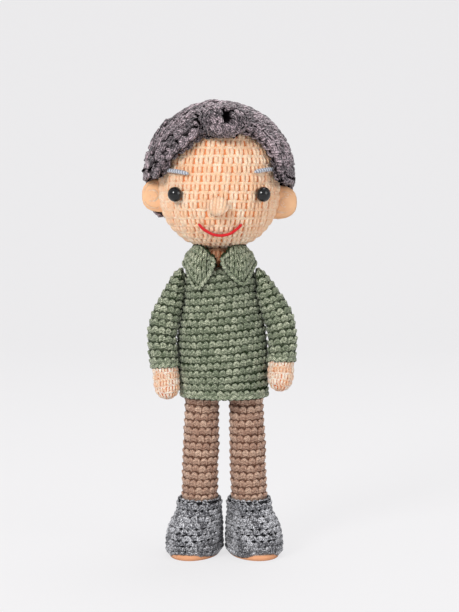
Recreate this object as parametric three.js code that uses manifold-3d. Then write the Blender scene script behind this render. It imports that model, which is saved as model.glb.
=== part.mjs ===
// A crochet doll in a collared sweater, trousers and slippers, standing on its soles.
// Millimetres, +Z up. The face looks along -Y, and the doll's own left is +X.
// The origin is on the floor, under the middle of the doll.
import * as THREE from "three";
import { mergeVertices } from "three/addons/utils/BufferGeometryUtils.js";
import Module from "manifold-3d";

const wasm = await Module();
wasm.setup();

// Clearances and cloth
const touch = 0.3; // between two pieces that lie on each other
const cover = 1.6; // wall of a crocheted cover
const lean = 2; // how far the hips stand to the left of the head

// Legs, from the floor up to the hip's axis
const legLength = 68;
const hipSpread = 9.2; // from the middle to one leg, at the hip
const ankleSpread = 10.5;
const hipRadius = 7;
const calfRadius = 7.35;
const trouserEnd = 15; // height of the hidden lower edge
const wireRadius = 0.8;
const hipForward = 40; // degrees that a leg swings
const hipBack = 20;

// Slippers
const toeOut = 12; // degrees
const footHalf = 11.7; // half the width
const footOut = 1.3; // the sole's middle, outside of the leg's axis
const footForward = 3.5; // the widest place, in front of that axis
const toeReach = 21; // in front of the leg's axis
const heelReach = 13.2;
const soleThickness = 2.2;
const slipperTop = 23.4;
const slipperMouth = 9.6; // half the width of the opening
const insoleThickness = 1;

// Sweater
const hemDrop = 0.6; // hem below the hip's axis
const sweaterHeight = 53.8;
const hemHalf = 18.4;
const bellyHalf = 19.2;
const waistHalf = 18.2;
const chestHalf = 15.5;
const shoulderHalf = 13.9;
const yokeHalf = 12.4;
const necklineHalf = 8.6;
const depthShare = 0.85; // depth of the body over its width
const seatHeight = 13.6; // trouser seat, from the hem up
const seatRise = 1.4; // lower edge of the seat above the hip's axis
const seatWall = 1.2; // cloth over the top of each leg

// Collar
const collarInner = 8.3;
const collarFold = 7.8; // height of the fold above the neckline
const foldRadius = 11.6;
const flapReach = 15.2; // radius of the flap at the sides and the back
const flapRise = 1.4; // edge of the flap above the neckline there
const openingRight = 9; // degrees from the front to each wing
const openingLeft = 5;
const openRise = 2.9; // fold above the neckline at the opening
const openEdge = 1.4; // edge of the wing above the neckline there
const foldTurnRight = 46; // degrees from the front to where the fold has its full height
const foldTurnLeft = 30;
const tipDropRight = 8.4; // pointed wing, below the neckline
const tipDropLeft = 6.8; // rounded wing
const flapThickness = 1.8;
const foldThickness = 1.6;
const flapBulge = 0.9; // the flap's middle swells out this much

// Neck
const neckHalf = 6;
const neckHeight = 8.2; // from the body's top to the chin
const neckRodRadius = 4.2;
const neckRodDepth = 7; // reach into the body
const neckRodReach = 11; // reach into the head
const nodPlay = 0.7; // room under the neck to nod

// Head, and the wig on it
const headHalf = 25.8;
const headBelow = 24.5; // from the chin to the widest level
const headAbove = 31.5; // from there to the crown
const chinFullness = 2.1; // 2 is an ellipse
const crownFullness = 2.5;
const hairThickness = 5.7; // over the head's widest level
const hairRise = 6.2; // middle of the wig above the head's widest level
const napeDrop = 10; // lower edge of the wig behind, below that level
const templeRiseRight = 5.2; // lower edge of the wig in front of the ears
const templeRiseLeft = 2.9;
const earBack = 3.4; // the wig comes down behind this
const hairEdgeRight = -0.99 * headHalf; // the wig's front edges, beside the temples
const hairEdgeLeft = 0.96 * headHalf;
// The hairline's places: sideways, and above the head's widest level, over the head's half width
const hairlineShares = [
  [-0.9, 0.37], [-0.81, 0.55], [-0.62, 0.62], [-0.47, 0.74], [-0.36, 0.87], [0.04, 0.98],
  [0.45, 0.96], [0.62, 0.88], [0.75, 0.76], [0.89, 0.61], [0.95, 0.41], [0.96, 0.1],
];
const rollHalf = 10.8; // the forelock's half sizes, along X, Y and Z
const rollDeep = 7.5;
const rollTall = 6.7;
const rollOut = 1.3; // to the left of the middle
const rollRise = 1.07 * headHalf; // above the head's widest level
const earHalf = 7.4; // half the width
const earTall = 7.1; // half the height
const earThick = 2.7; // half the thickness
const earFullness = 2.6; // 2 is an ellipse
const earProud = 6.8; // out from the head's widest level
const earDropRight = 2; // below that level
const earDropLeft = 4.8;

// Face
const eyeOut = 16.9;
const eyeDrop = 1.5;
const eyeRadius = 3.05;
const eyeHeight = 3.2;
const postRadius = 1.15;
const postLength = 6.5;
const washerRadius = 3.4;
const washerThickness = 1.2;
const noseDrop = 6.5;
const noseHalf = 3.8;
const noseTall = 4.6;
const noseProud = 3;
const browRadius = 0.75;
const mouthRadius = 0.55;
// Places along the threads: sideways, and above the head's widest level, over the head's half width
const browSharesRight = [[-0.82, 0.29], [-0.65, 0.29], [-0.46, 0.24]];
const browSharesLeft = [[0.53, 0.27], [0.71, 0.3], [0.86, 0.31]];
const mouthShares = [[-0.31, -0.52], [-0.16, -0.64], [0.02, -0.69], [0.2, -0.64], [0.34, -0.53]];

// Arms, from the shoulder's axis down to the finger tips
const shoulderDrop = 3.8; // below the neckline
const shoulderPlane = 15.2; // flat inner side of the arm, from the middle
const shoulderForward = 2; // the arms lean forward, from here at the shoulder
const handForward = 8; // to here at the finger tips
const armLengthRight = 51.7;
const armLengthLeft = 48.4;
const sleeveShare = 0.735; // of the arm's length
const armTopRadius = 2.4; // sideways and up, so that the shoulder slopes on from the collar
const armTopDepth = 4.2; // front to back
const armTopShare = 0.7; // of the top's radius, from the flat side to the middle
const armTopDrop = 0.2; // middle of the arm's round top, below the shoulder's axis
const armRootShare = 0.12; // of the arm's length, where the shoulder's slope ends
const armRootRadius = 4.3;
const armBendShare = 0.18; // of the arm's length, where the arm hangs straighter
const armBendOut = 0.4; // of the way out from the top to the elbow, at the bend
const sleeveFullShare = 0.3; // of the arm's length, where the sleeve is widest
const handFullShare = 0.85; // and where the hand is
const fingerNarrowing = 0.95; // of the hand's radius, at the finger tips
const elbowOut = 25;
const wristOut = 24.2;
const fingerOut = 23.2;
const sleeveRadius = 6.1;
const cuffRadius = 5.7;
const handRadius = 5.75;
const shankRadius = 1.2; // thread shank, at the body
const shankTip = 0.35; // and at the arm, so that the arm can lift over it

// Levels above the floor
const hipZ = legLength;
const hemZ = hipZ - hemDrop;
const necklineZ = hemZ + sweaterHeight;
const shoulderZ = necklineZ - shoulderDrop;
const bodyTopZ = necklineZ - cover;
const chinZ = bodyTopZ + nodPlay + neckHeight;
const headZ = chinZ + headBelow;
const hairZ = headZ + hairRise;
const hairRadius = headHalf + hairThickness;
const seatTopZ = hemZ + seatHeight;

// How finely the round forms are cut
const headSides = 24;
const bodySides = 24;
const limbSides = 12;
const footSides = 20;

const rad = THREE.MathUtils.degToRad;

// Sideways place of the body's middle at a height
function middle(z) {
  const share = (necklineZ - z) / (necklineZ - hipZ);
  return lean * THREE.MathUtils.clamp(share, 0, 1);
}

// A level oval ring, half as wide as a along X and as b along Y
function oval(x, y, z, a, b = a, sides = limbSides) {
  return Array.from({ length: sides }, (_, i) => {
    const turn = (2 * Math.PI * i) / sides;
    return new THREE.Vector3(x + a * Math.cos(turn), y + b * Math.sin(turn), z);
  });
}

// Joins rings that have the same count of points into one closed surface that faces out.
// The first and last ring are closed by fans, or meet each other when round is true.
function loft(rings, round = false) {
  const n = rings[0].length;
  const points = rings.flat();
  const faces = [];
  const spans = round ? rings.length : rings.length - 1;
  for (let i = 0; i < spans; i++) {
    const a = i * n;
    const b = ((i + 1) % rings.length) * n;
    for (let j = 0; j < n; j++) {
      const k = (j + 1) % n;
      faces.push(a + j, a + k, b + k, a + j, b + k, b + j);
    }
  }
  if (!round) {
    for (const end of [0, rings.length - 1]) {
      const centre = points.length;
      const sum = rings[end].reduce((s, p) => s.add(p), new THREE.Vector3());
      points.push(sum.divideScalar(n));
      for (let j = 0; j < n; j++) {
        const pair = [end * n + j, end * n + ((j + 1) % n)];
        if (end === 0) pair.reverse();
        faces.push(...pair, centre);
      }
    }
  }
  let volume = 0;
  for (let i = 0; i < faces.length; i += 3) {
    const [p, q, r] = [0, 1, 2].map((k) => points[faces[i + k]]);
    volume += p.dot(q.clone().cross(r));
  }
  if (volume < 0) faces.reverse();
  const geometry = new THREE.BufferGeometry().setFromPoints(points);
  return geometry.setIndex(faces);
}

// Booleans
function solid(geometry, place = new THREE.Matrix4()) {
  const bare = geometry.clone().applyMatrix4(place);
  bare.deleteAttribute("normal");
  bare.deleteAttribute("uv");
  const merged = mergeVertices(bare, 1e-4);
  return new wasm.Manifold(
    new wasm.Mesh({
      numProp: 3,
      vertProperties: merged.attributes.position.array,
      triVerts: new Uint32Array(merged.index.array),
    }),
  );
}

function cut(whole, ...tools) {
  return tools.reduce((left, tool) => left.subtract(tool), whole);
}

function geometryOf(manifold) {
  const mesh = manifold.getMesh();
  const positions = new THREE.BufferAttribute(mesh.vertProperties, 3);
  return new THREE.BufferGeometry()
    .setAttribute("position", positions)
    .setIndex(new THREE.BufferAttribute(mesh.triVerts, 1));
}

// Yarns and other materials
const yarn = (color) => new THREE.MeshStandardMaterial({ color, roughness: 0.92, metalness: 0 });
const skinYarn = yarn(0xf5c8a0);
const soleYarn = yarn(0xdcaa87);
const hairYarn = yarn(0x554e54);
const browYarn = yarn(0x969ba5);
const mouthYarn = yarn(0xd71923);
const sweaterYarn = yarn(0x809272);
const trouserYarn = yarn(0x96735f);
const slipperYarn = yarn(0x787a80);
const bodyYarn = yarn(0xe8e2d6);
const stuffing = yarn(0xf4f4f0);
const bead = new THREE.MeshStandardMaterial({ color: 0x141618, roughness: 0.12, metalness: 0 });
const clearPlastic = new THREE.MeshStandardMaterial({ color: 0xdadcd8, roughness: 0.4, metalness: 0 });
const insoleBoard = new THREE.MeshStandardMaterial({ color: 0xc9bda6, roughness: 0.7, metalness: 0 });
const felt = yarn(0xd8d0c4);
const steel = new THREE.MeshStandardMaterial({ color: 0x9a9ca0, roughness: 0.35, metalness: 1 });

const doll = new THREE.Group();

function add(name, shape, material, parent = doll) {
  const geometry = shape.isBufferGeometry ? shape : geometryOf(shape);
  geometry.computeVertexNormals();
  const mesh = new THREE.Mesh(geometry, material);
  mesh.name = name;
  parent.add(mesh);
  return mesh;
}

// Torso form: an outline from the hem up to the neckline, as half width against height
const torsoOutline = new THREE.SplineCurve([
  new THREE.Vector2(hemHalf, hemZ),
  new THREE.Vector2(bellyHalf, hemZ + 0.28 * sweaterHeight),
  new THREE.Vector2(waistHalf, hemZ + 0.54 * sweaterHeight),
  new THREE.Vector2(chestHalf, hemZ + 0.77 * sweaterHeight),
  new THREE.Vector2(shoulderHalf, hemZ + 0.92 * sweaterHeight),
  new THREE.Vector2(yokeHalf, hemZ + 0.975 * sweaterHeight),
  new THREE.Vector2(necklineHalf, necklineZ),
]);

// The outline's point at a share of its length, moved out of the cloth by grow
function torsoPoint(share, grow) {
  const p = torsoOutline.getPoint(share);
  const t = torsoOutline.getTangent(share);
  return { half: p.x + t.y * grow, z: p.y - t.x * grow };
}

function torsoRing(half, z) {
  const round = THREE.MathUtils.smoothstep(z, shoulderZ, necklineZ);
  const depth = half * THREE.MathUtils.lerp(depthShare, 1, round);
  return oval(middle(z), 0, z, half, depth, bodySides);
}

// The share of the outline at a height
function torsoShare(z, grow) {
  let low = 0;
  let high = 1;
  for (let i = 0; i < 30; i++) {
    const mid = (low + high) / 2;
    if (torsoPoint(mid, grow).z < z) low = mid;
    else high = mid;
  }
  return low;
}

// Rings between two heights, from the first to the second
function torsoRings(grow, fromZ, toZ, count) {
  const from = torsoShare(fromZ, grow);
  const to = torsoShare(toZ, grow);
  return Array.from({ length: count + 1 }, (_, i) => {
    const p = torsoPoint(from + ((to - from) * i) / count, grow);
    return torsoRing(p.half, p.z);
  });
}

function torsoForm(grow) {
  return solid(loft(torsoRings(grow, hemZ, torsoPoint(1, grow).z, 14)));
}

function torsoHalf(z) {
  return torsoPoint(torsoShare(z, 0), 0).half;
}

// Head form: a ring at a latitude in degrees, moved out of the skin by grow
function headRing(latitude, grow) {
  const c = Math.cos(rad(latitude));
  const s = Math.sin(rad(latitude));
  const power = 2 / (s < 0 ? chinFullness : crownFullness);
  const reach = (s < 0 ? headBelow : headAbove) + grow;
  const z = headZ + Math.sign(s) * reach * Math.abs(s) ** power;
  const r = (headHalf + grow) * c ** power;
  return oval(0, 0, z, r, r, headSides);
}

function headRings(grow, from, to, count) {
  return Array.from({ length: count + 1 }, (_, i) => headRing(from + ((to - from) * i) / count, grow));
}

// The latitude below the middle where the form is as wide as a hole
function holeLatitude(radius, grow) {
  const share = radius / (headHalf + grow);
  return -THREE.MathUtils.radToDeg(Math.acos(share ** (chinFullness / 2)));
}

// The latitude below the middle of a depth
function depthLatitude(depth, grow) {
  const share = depth / (headBelow + grow);
  return -THREE.MathUtils.radToDeg(Math.asin(share ** (chinFullness / 2)));
}

function headForm(grow) {
  return solid(loft(headRings(grow, -85, 85, 18)));
}

function headRadius(rise) {
  const reach = rise < 0 ? headBelow : headAbove;
  const fullness = rise < 0 ? chinFullness : crownFullness;
  return headHalf * (1 - Math.abs(rise / reach) ** fullness) ** (1 / fullness);
}

// A place on the face whose own Z axis stands out of the skin
function onFace(x, rise, out = 0) {
  const radius = headRadius(rise);
  const skin = new THREE.Vector3(x, -Math.sqrt(radius ** 2 - x ** 2), headZ + rise);
  const slope = headRadius(rise + 0.5) - headRadius(rise - 0.5);
  const normal = new THREE.Vector3(skin.x / radius, skin.y / radius, -slope).normalize();
  const side = new THREE.Vector3(-normal.y, normal.x, 0).normalize();
  const up = normal.clone().cross(side);
  return new THREE.Matrix4()
    .makeBasis(side, up, normal)
    .setPosition(skin.addScaledVector(normal, out));
}

// Turns a shape made round Y into one round Z
const upright = (geometry) => geometry.rotateX(Math.PI / 2);

function rod(radius, from, to, sides = limbSides) {
  const shape = new THREE.CylinderGeometry(radius, radius, to - from, sides);
  return upright(shape).translate(0, 0, (from + to) / 2);
}

// Head and its stuffing
function addHead() {
  const hole = neckRodRadius + touch;
  const low = holeLatitude(hole, 0);
  const inside = headRings(-cover, 80, holeLatitude(hole, -cover), 8);
  const outside = headRings(0, low, 84, 14);
  const posts = [-1, 1].map((side) => {
    return solid(rod(postRadius + touch, -2 * cover, cover), onFace(side * eyeOut, -eyeDrop));
  });
  add("head_cover", cut(solid(loft([...inside, ...outside])), ...posts), skinYarn);

  const deep = -(cover + touch);
  const wide = hole + cover;
  const fill = headRings(deep, holeLatitude(wide, deep), 80, 8);
  const floorZ = fill[0][0].z;
  const bore = [chinZ + neckRodReach + touch, floorZ].map((z) => oval(0, 0, z, hole, hole, headSides));
  const pockets = [-1, 1].map((side) => {
    const pocket = rod(washerRadius + touch, -postLength - 2 * touch, cover);
    return solid(pocket, onFace(side * eyeOut, -eyeDrop));
  });
  add("head_stuffing", cut(solid(loft([...bore, ...fill])), ...pockets), stuffing);
}

// A bead eye with its post, and the washer that locks it from inside
function addEye(side, name) {
  const dome = new THREE.Path().absellipse(0, 0, eyeRadius, eyeHeight, 0, Math.PI / 2).getPoints(5);
  dome[dome.length - 1].set(0, eyeHeight);
  const profile = [
    new THREE.Vector2(0, -postLength),
    new THREE.Vector2(postRadius, -postLength),
    new THREE.Vector2(postRadius, 0),
    ...dome,
  ];
  const place = onFace(side * eyeOut, -eyeDrop, touch);
  const eye = upright(new THREE.LatheGeometry(profile, limbSides)).applyMatrix4(place);
  add("eye_" + name, solid(eye), bead);

  const inner = postRadius + touch;
  const ring = [
    [inner, 0],
    [washerRadius, 0],
    [washerRadius, washerThickness],
    [inner, washerThickness],
    [inner, 0],
  ].map(([r, z]) => new THREE.Vector2(r, z));
  const depth = cover + 3 * touch + washerThickness;
  const seat = onFace(side * eyeOut, -eyeDrop, -depth);
  const washer = upright(new THREE.LatheGeometry(ring, limbSides)).applyMatrix4(seat);
  add("eye_washer_" + name, solid(washer), clearPlastic);
}

// A thread that lies on the face through the given places
function faceThread(places, radius) {
  const route = places.map(([x, rise]) => {
    const place = onFace(x * headHalf, rise * headHalf, radius + touch);
    return new THREE.Vector3().setFromMatrixPosition(place);
  });
  const section = new THREE.Shape().absarc(0, 0, radius, 0, 2 * Math.PI);
  return new THREE.ExtrudeGeometry(section, {
    extrudePath: new THREE.CatmullRomCurve3(route),
    steps: 8,
    curveSegments: 4,
    bevelEnabled: false,
  });
}

function addFace() {
  addEye(-1, "right");
  addEye(1, "left");
  const nose = new THREE.SphereGeometry(1, 16, 12).scale(noseHalf, noseProud, noseTall);
  const noseY = -headRadius(-noseDrop);
  nose.translate(0, noseY, headZ - noseDrop);
  add("nose", cut(solid(nose), headForm(touch)), skinYarn);
  add("brow_right", faceThread(browSharesRight, browRadius), browYarn);
  add("brow_left", faceThread(browSharesLeft, browRadius), browYarn);
  add("mouth", faceThread(mouthShares, mouthRadius), mouthYarn);
}

// The wig's shell, grown by an amount on every side when it serves as a tool
function hairShell(grow) {
  const napeZ = headZ - napeDrop - grow;
  const inner = touch - grow;
  const lowest = depthLatitude(napeDrop + grow, inner);
  const inside = headRings(inner, 82, lowest, 10);
  const outer = hairRadius + grow;
  const low = THREE.MathUtils.radToDeg(Math.asin((napeZ - hairZ) / outer));
  const outside = Array.from({ length: 13 }, (_, i) => {
    const turn = rad(low + ((86 - low) * i) / 12);
    const r = outer * Math.cos(turn);
    return oval(0, 0, hairZ + outer * Math.sin(turn), r, r, headSides);
  });
  const shell = solid(loft([...inside, ...outside]));

  const shrink = 1 - grow / headHalf;
  const outline = new THREE.Shape();
  outline.moveTo(hairEdgeLeft, -headBelow);
  outline.lineTo(hairEdgeRight, -headBelow);
  outline.lineTo(hairEdgeRight, templeRiseRight - touch);
  outline.splineThru(hairlineShares.map(([x, rise]) => new THREE.Vector2(x * headHalf, rise * headHalf)));
  outline.closePath();
  const window = new THREE.ExtrudeGeometry(outline, {
    depth: 2 * headHalf,
    curveSegments: 2,
    bevelEnabled: false,
  });
  window.scale(shrink, shrink, 1);
  upright(window).translate(0, 0, headZ);

  const notchBack = earBack - grow;
  const notches = [[-1, templeRiseRight], [1, templeRiseLeft]].map(([side, rise]) => {
    const notch = new THREE.BoxGeometry(2 * headHalf, 2 * headHalf, 2 * headHalf);
    notch.translate(side * headHalf, notchBack - headHalf, headZ + rise - grow - headHalf);
    return solid(notch);
  });
  return cut(shell, solid(window), ...notches);
}

function addHair() {
  add("hair_cap", hairShell(0), hairYarn);
  const roll = new THREE.SphereGeometry(1, 20, 12);
  roll.scale(rollHalf, rollDeep, rollTall);
  roll.translate(rollOut, rollDeep - hairRadius, headZ + rollRise);
  add("forelock", cut(solid(roll), hairShell(touch), headForm(touch)), hairYarn);
}

function addEar(side, name, drop) {
  const ear = upright(new THREE.SphereGeometry(1, 18, 12));
  const places = ear.getAttribute("position");
  for (let i = 0; i < places.count; i++) {
    const [x, z] = [places.getX(i), places.getZ(i)];
    const reach = (Math.abs(x) ** earFullness + Math.abs(z) ** earFullness) ** (1 / earFullness);
    const full = reach > 0 ? Math.hypot(x, z) / reach : 1;
    places.setXYZ(i, x * full, places.getY(i), z * full);
  }
  ear.scale(earHalf, earThick, earTall);
  ear.translate(side * (headHalf + earProud - earHalf), 0, headZ - drop);
  add("ear_" + name, cut(solid(ear), headForm(touch), hairShell(touch)), skinYarn);
}

// Neck: a skin tube round a stiff core
function addNeck() {
  const from = bodyTopZ + nodPlay;
  const walls = [
    [neckRodRadius + touch, chinZ],
    [neckRodRadius + touch, from],
    [neckHalf, from],
    [neckHalf, (from + chinZ) / 2],
    [neckHalf, chinZ],
  ].map(([r, z]) => oval(0, 0, z, r, r));
  add("neck_cover", loft(walls, true), skinYarn);
  add("neck_rod", solid(rod(neckRodRadius, bodyTopZ - neckRodDepth, chinZ + neckRodReach)), felt);
}

// The body under the sweater, its stuffing and the trouser seat
const bodyIn = -(cover + touch);
const bodyWall = bodyIn - cover;
const neckHole = neckRodRadius + 2 * touch;

function addTorso() {
  const top = torsoPoint(1, 0).z;
  const outerTop = torsoPoint(1, -cover).z;
  const outside = torsoRings(0, hemZ, top, 12);
  const inside = torsoRings(-cover, outerTop, hemZ, 12);
  inside[inside.length - 1].forEach((p) => (p.z = hemZ));
  add("sweater", loft([...outside, ...inside], true), sweaterYarn);

  const shoulder = torsoPoint(1, bodyIn).z;
  const under = torsoPoint(1, bodyWall).z;
  const lid = oval(0, 0, shoulder, neckHole, neckHole, bodySides);
  const ceiling = oval(0, 0, under, neckHole, neckHole, bodySides);
  const shell = [
    ...torsoRings(bodyIn, seatTopZ + touch, shoulder, 11),
    lid,
    ceiling,
    ...torsoRings(bodyWall, under, seatTopZ + touch, 7),
  ];
  add("torso_cover", loft(shell, true), bodyYarn);

  const seatBottom = hipZ + seatRise;
  const cupFloor = hipZ + hipRadius + touch + seatWall;
  const cup = [
    ...torsoRings(bodyIn, seatBottom, seatTopZ, 3),
    ...torsoRings(bodyWall, seatTopZ, cupFloor, 1),
  ];
  const sockets = [-1, 1].flatMap((side) => {
    const hip = new THREE.Matrix4().makeTranslation(lean + side * hipSpread, 0, hipZ);
    const ball = new THREE.SphereGeometry(hipRadius + 2 * touch, 16, 10);
    const swings = [-hipBack, 0, hipForward].map((angle) => {
      const turn = new THREE.Matrix4().makeRotationX(rad(-angle));
      return solid(rod(hipRadius + 2 * touch, -2 * hipRadius, 0, 16), hip.clone().multiply(turn));
    });
    return [solid(ball, hip), ...swings];
  });
  add("seat_cover", cut(solid(loft(cup)), ...sockets), trouserYarn);

  const fillIn = bodyWall - touch;
  const fillTop = torsoPoint(1, fillIn).z;
  const well = neckHole + touch;
  const fill = [
    oval(0, 0, bodyTopZ - neckRodDepth - 2 * touch, well, well, bodySides),
    oval(0, 0, fillTop, well, well, bodySides),
    ...torsoRings(fillIn, fillTop, cupFloor + touch, 9),
  ];
  add("torso_stuffing", loft(fill), stuffing);
}

// Collar: a standing band that folds over into a flap with two front wings.
// The angle runs from the front opening round the doll's left side.
function addCollar() {
  const wing = (opening, drop) => [
    [opening, -openEdge],
    [18, 0.4 * drop],
    [33, 0.95 * drop],
    [42, drop],
    [60, 0.35 * drop],
    [86, -flapRise],
  ];
  const left = wing(openingLeft, tipDropLeft);
  const right = wing(openingRight, tipDropRight).map(([angle, drop]) => [360 - angle, drop]).reverse();
  const edge = [...left, [130, -flapRise], [180, -flapRise], [230, -flapRise], ...right];
  const edgeCurve = new THREE.SplineCurve(edge.map(([angle, drop]) => new THREE.Vector2(angle, drop)));
  const rings = edgeCurve.getPoints(42).map(({ x: angle, y: drop }) => {
    const turn = rad(angle);
    const edgeZ = necklineZ - drop;
    const onBody = Math.min(edgeZ, necklineZ - cover);
    const half = torsoHalf(onBody);
    const body = half * Math.hypot(Math.sin(turn), depthShare * Math.cos(turn));
    const hangs = THREE.MathUtils.smoothstep(drop, -flapRise, 0.5 * tipDropLeft);
    const reach = THREE.MathUtils.lerp(flapReach, body + flapThickness + touch, hangs);
    const raised = angle < 180
      ? THREE.MathUtils.smoothstep(angle, openingLeft, foldTurnLeft)
      : THREE.MathUtils.smoothstep(360 - angle, openingRight, foldTurnRight);
    const foldZ = necklineZ + THREE.MathUtils.lerp(openRise, collarFold, raised);
    const section = [
      [collarInner, necklineZ - touch],
      [foldRadius - foldThickness, foldZ - foldThickness / 2],
      [foldRadius, foldZ],
      [(foldRadius + reach) / 2 + flapBulge, (foldZ + edgeZ) / 2 + flapBulge],
      [reach, edgeZ],
      [reach - flapThickness - 2 * touch, edgeZ],
      [necklineHalf, necklineZ - touch - hangs],
    ];
    return section.map(([r, z]) => {
      return new THREE.Vector3(middle(z) + r * Math.sin(turn), -r * Math.cos(turn), z);
    });
  });
  add("collar", cut(solid(loft(rings)), torsoForm(touch)), sweaterYarn);
}

// Arms. The route goes from the shoulder down to the finger tips.
function armRoute(side, length) {
  const topZ = shoulderZ - armTopDrop;
  const tipZ = shoulderZ - length;
  const along = (share) => THREE.MathUtils.lerp(topZ, tipZ, share);
  const topOut = shoulderPlane + armTopShare * armTopRadius;
  const places = [
    [topOut, 0],
    [THREE.MathUtils.lerp(topOut, elbowOut, armBendOut), armBendShare],
    [elbowOut, 0.45],
    [wristOut, 0.76],
    [fingerOut, 1],
  ];
  return new THREE.CatmullRomCurve3(
    places.map(([out, share]) => {
      const z = along(share);
      const forward = THREE.MathUtils.lerp(shoulderForward, handForward, share);
      return new THREE.Vector3(middle(z) + side * out, -forward, z);
    }),
  );
}

// A ring square to the route, not further in than the arm's flat side
function armRing(route, side, share, radius, grow, depth = radius) {
  const centre = route.getPointAt(share);
  const ahead = route.getTangentAt(share);
  const across = new THREE.Vector3(0, 1, 0);
  const outward = ahead.clone().cross(across).normalize();
  const flat = shoulderPlane - grow;
  return Array.from({ length: limbSides }, (_, i) => {
    const turn = (2 * Math.PI * i) / limbSides;
    const p = centre
      .clone()
      .addScaledVector(outward, (radius + grow) * Math.cos(turn))
      .addScaledVector(across, (depth + grow) * Math.sin(turn));
    const inward = side * (p.x - middle(p.z));
    if (inward < flat) p.x = middle(p.z) + side * flat;
    return p;
  });
}

// The round top of the arm, from its pole down to the first full ring
function armTop(route, side, grow) {
  const centre = route.getPointAt(0);
  const flat = shoulderPlane - grow;
  return [75, 50, 25].map((latitude) => {
    const shrink = Math.cos(rad(latitude));
    const z = centre.z + (armTopRadius + grow) * Math.sin(rad(latitude));
    const ring = oval(centre.x, centre.y, z, (armTopRadius + grow) * shrink, (armTopDepth + grow) * shrink);
    ring.forEach((p) => {
      if (side * (p.x - middle(z)) < flat) p.x = middle(z) + side * flat;
    });
    return ring;
  });
}

// The size at a share of the arm's length, from places that each hold a share and a size
function sizeAt(places, share) {
  for (let i = 1; i < places.length; i++) {
    const [from, a] = places[i - 1];
    const [to, b] = places[i];
    if (share <= to) return THREE.MathUtils.lerp(a, b, (share - from) / (to - from));
  }
  return places.at(-1)[1];
}

const lowerArm = [
  [sleeveFullShare, sleeveRadius],
  [sleeveShare, cuffRadius],
  [handFullShare, handRadius],
  [1, handRadius * fingerNarrowing],
];
const armWidths = [[0, armTopRadius], [armRootShare, armRootRadius], ...lowerArm];
const armDepths = [[0, armTopDepth], ...lowerArm];

function armRings(route, side, from, to, count, grow) {
  return Array.from({ length: count + 1 }, (_, i) => {
    const share = from + ((to - from) * i) / count;
    return armRing(route, side, share, sizeAt(armWidths, share), grow, sizeAt(armDepths, share));
  });
}

// The round end of the hand, from the last full ring to the tip
function armTip(route, side, grow) {
  const end = 1 - handRadius / route.getLength();
  return [25, 50, 75].map((latitude) => {
    const share = end + ((1 - end) * Math.sin(rad(latitude)) * (handRadius + grow)) / handRadius;
    const radius = (handRadius + grow) * Math.cos(rad(latitude)) - grow;
    return armRing(route, side, Math.min(share, 1), radius, grow);
  });
}

function addArm(side, name, length) {
  const route = armRoute(side, length);
  const handStart = 1 - handRadius / route.getLength();
  const gap = touch / route.getLength();
  const sleeve = [
    ...armTop(route, side, -cover),
    ...armRings(route, side, 0.02, sleeveShare, 7, -cover),
    ...armRings(route, side, 0.02, sleeveShare, 9, 0).reverse(),
    ...armTop(route, side, 0).reverse(),
  ];
  add("sleeve_" + name, cut(solid(loft(sleeve)), torsoForm(touch)), sweaterYarn);
  const hand = [
    ...armTip(route, side, -cover).reverse(),
    ...armRings(route, side, sleeveShare + gap, handStart, 3, -cover).reverse(),
    ...armRings(route, side, sleeveShare + gap, handStart, 4, 0),
    ...armTip(route, side, 0),
  ];
  add("hand_" + name, loft(hand), skinYarn);
  const deep = -(cover + touch);
  const fill = [
    ...armTop(route, side, deep),
    ...armRings(route, side, 0.02, handStart, 9, deep),
    ...armTip(route, side, deep),
  ];
  add("arm_stuffing_" + name, loft(fill), stuffing);

  const from = torsoHalf(shoulderZ - shankRadius) + touch;
  const to = shoulderPlane - touch;
  const shank = new THREE.CylinderGeometry(shankTip, shankRadius, to - from, limbSides);
  upright(shank).translate(0, 0, (from + to) / 2).rotateY((side * Math.PI) / 2);
  shank.translate(middle(shoulderZ), -shoulderForward, shoulderZ);
  add("shoulder_thread_" + name, solid(shank), sweaterYarn);
}

// Legs
const legRise = legLength - slipperTop;
const legSlant = Math.atan2(ankleSpread - hipSpread, legRise);

function legRings(grow, fromZ, toZ, count) {
  return Array.from({ length: count + 1 }, (_, i) => {
    const z = THREE.MathUtils.lerp(fromZ, toZ, i / count);
    const share = THREE.MathUtils.clamp(-z / legRise, 0, 1);
    const swell = 0.15 * Math.sin(Math.PI * share);
    const r = THREE.MathUtils.lerp(hipRadius, calfRadius, share) + swell;
    return oval(0, 0, z, r + grow);
  });
}

function legTop(grow) {
  return [20, 42, 62, 80].map((latitude) => {
    const r = hipRadius + grow;
    return oval(0, 0, r * Math.sin(rad(latitude)), r * Math.cos(rad(latitude)));
  });
}

function addLeg(side, name) {
  const leg = new THREE.Group();
  leg.position.set(lean + side * hipSpread, 0, hipZ);
  leg.rotation.y = -side * legSlant;
  doll.add(leg);
  const endZ = trouserEnd - legLength;
  const trousers = [
    ...legTop(-cover).reverse(),
    ...legRings(-cover, 0, endZ, 4),
    ...legRings(0, endZ, 0, 7),
    ...legTop(0),
  ];
  add("trouser_leg_" + name, loft(trousers), trouserYarn, leg);
  const deep = -(cover + touch);
  const bore = wireRadius + touch;
  const topZ = 0.4 * hipRadius;
  const fill = [
    oval(0, 0, topZ, bore),
    oval(0, 0, endZ, bore),
    ...legRings(deep, endZ, 0, 5),
    oval(0, 0, topZ, hipRadius + deep - 1),
  ];
  add("leg_stuffing_" + name, loft(fill, true), stuffing, leg);
  add("leg_wire_" + name, solid(rod(wireRadius, endZ, topZ, 10)), steel, leg);
}

// An egg-shaped outline with the toe along -Y, widest a way in front of the leg's axis
function footRing(out, forward, z, half, toe, heel) {
  const ring = oval(out, 0, z, half, 1, footSides);
  ring.forEach((p) => (p.y = p.y * (p.y < 0 ? toe - forward : heel + forward) - forward));
  return ring;
}

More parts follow.
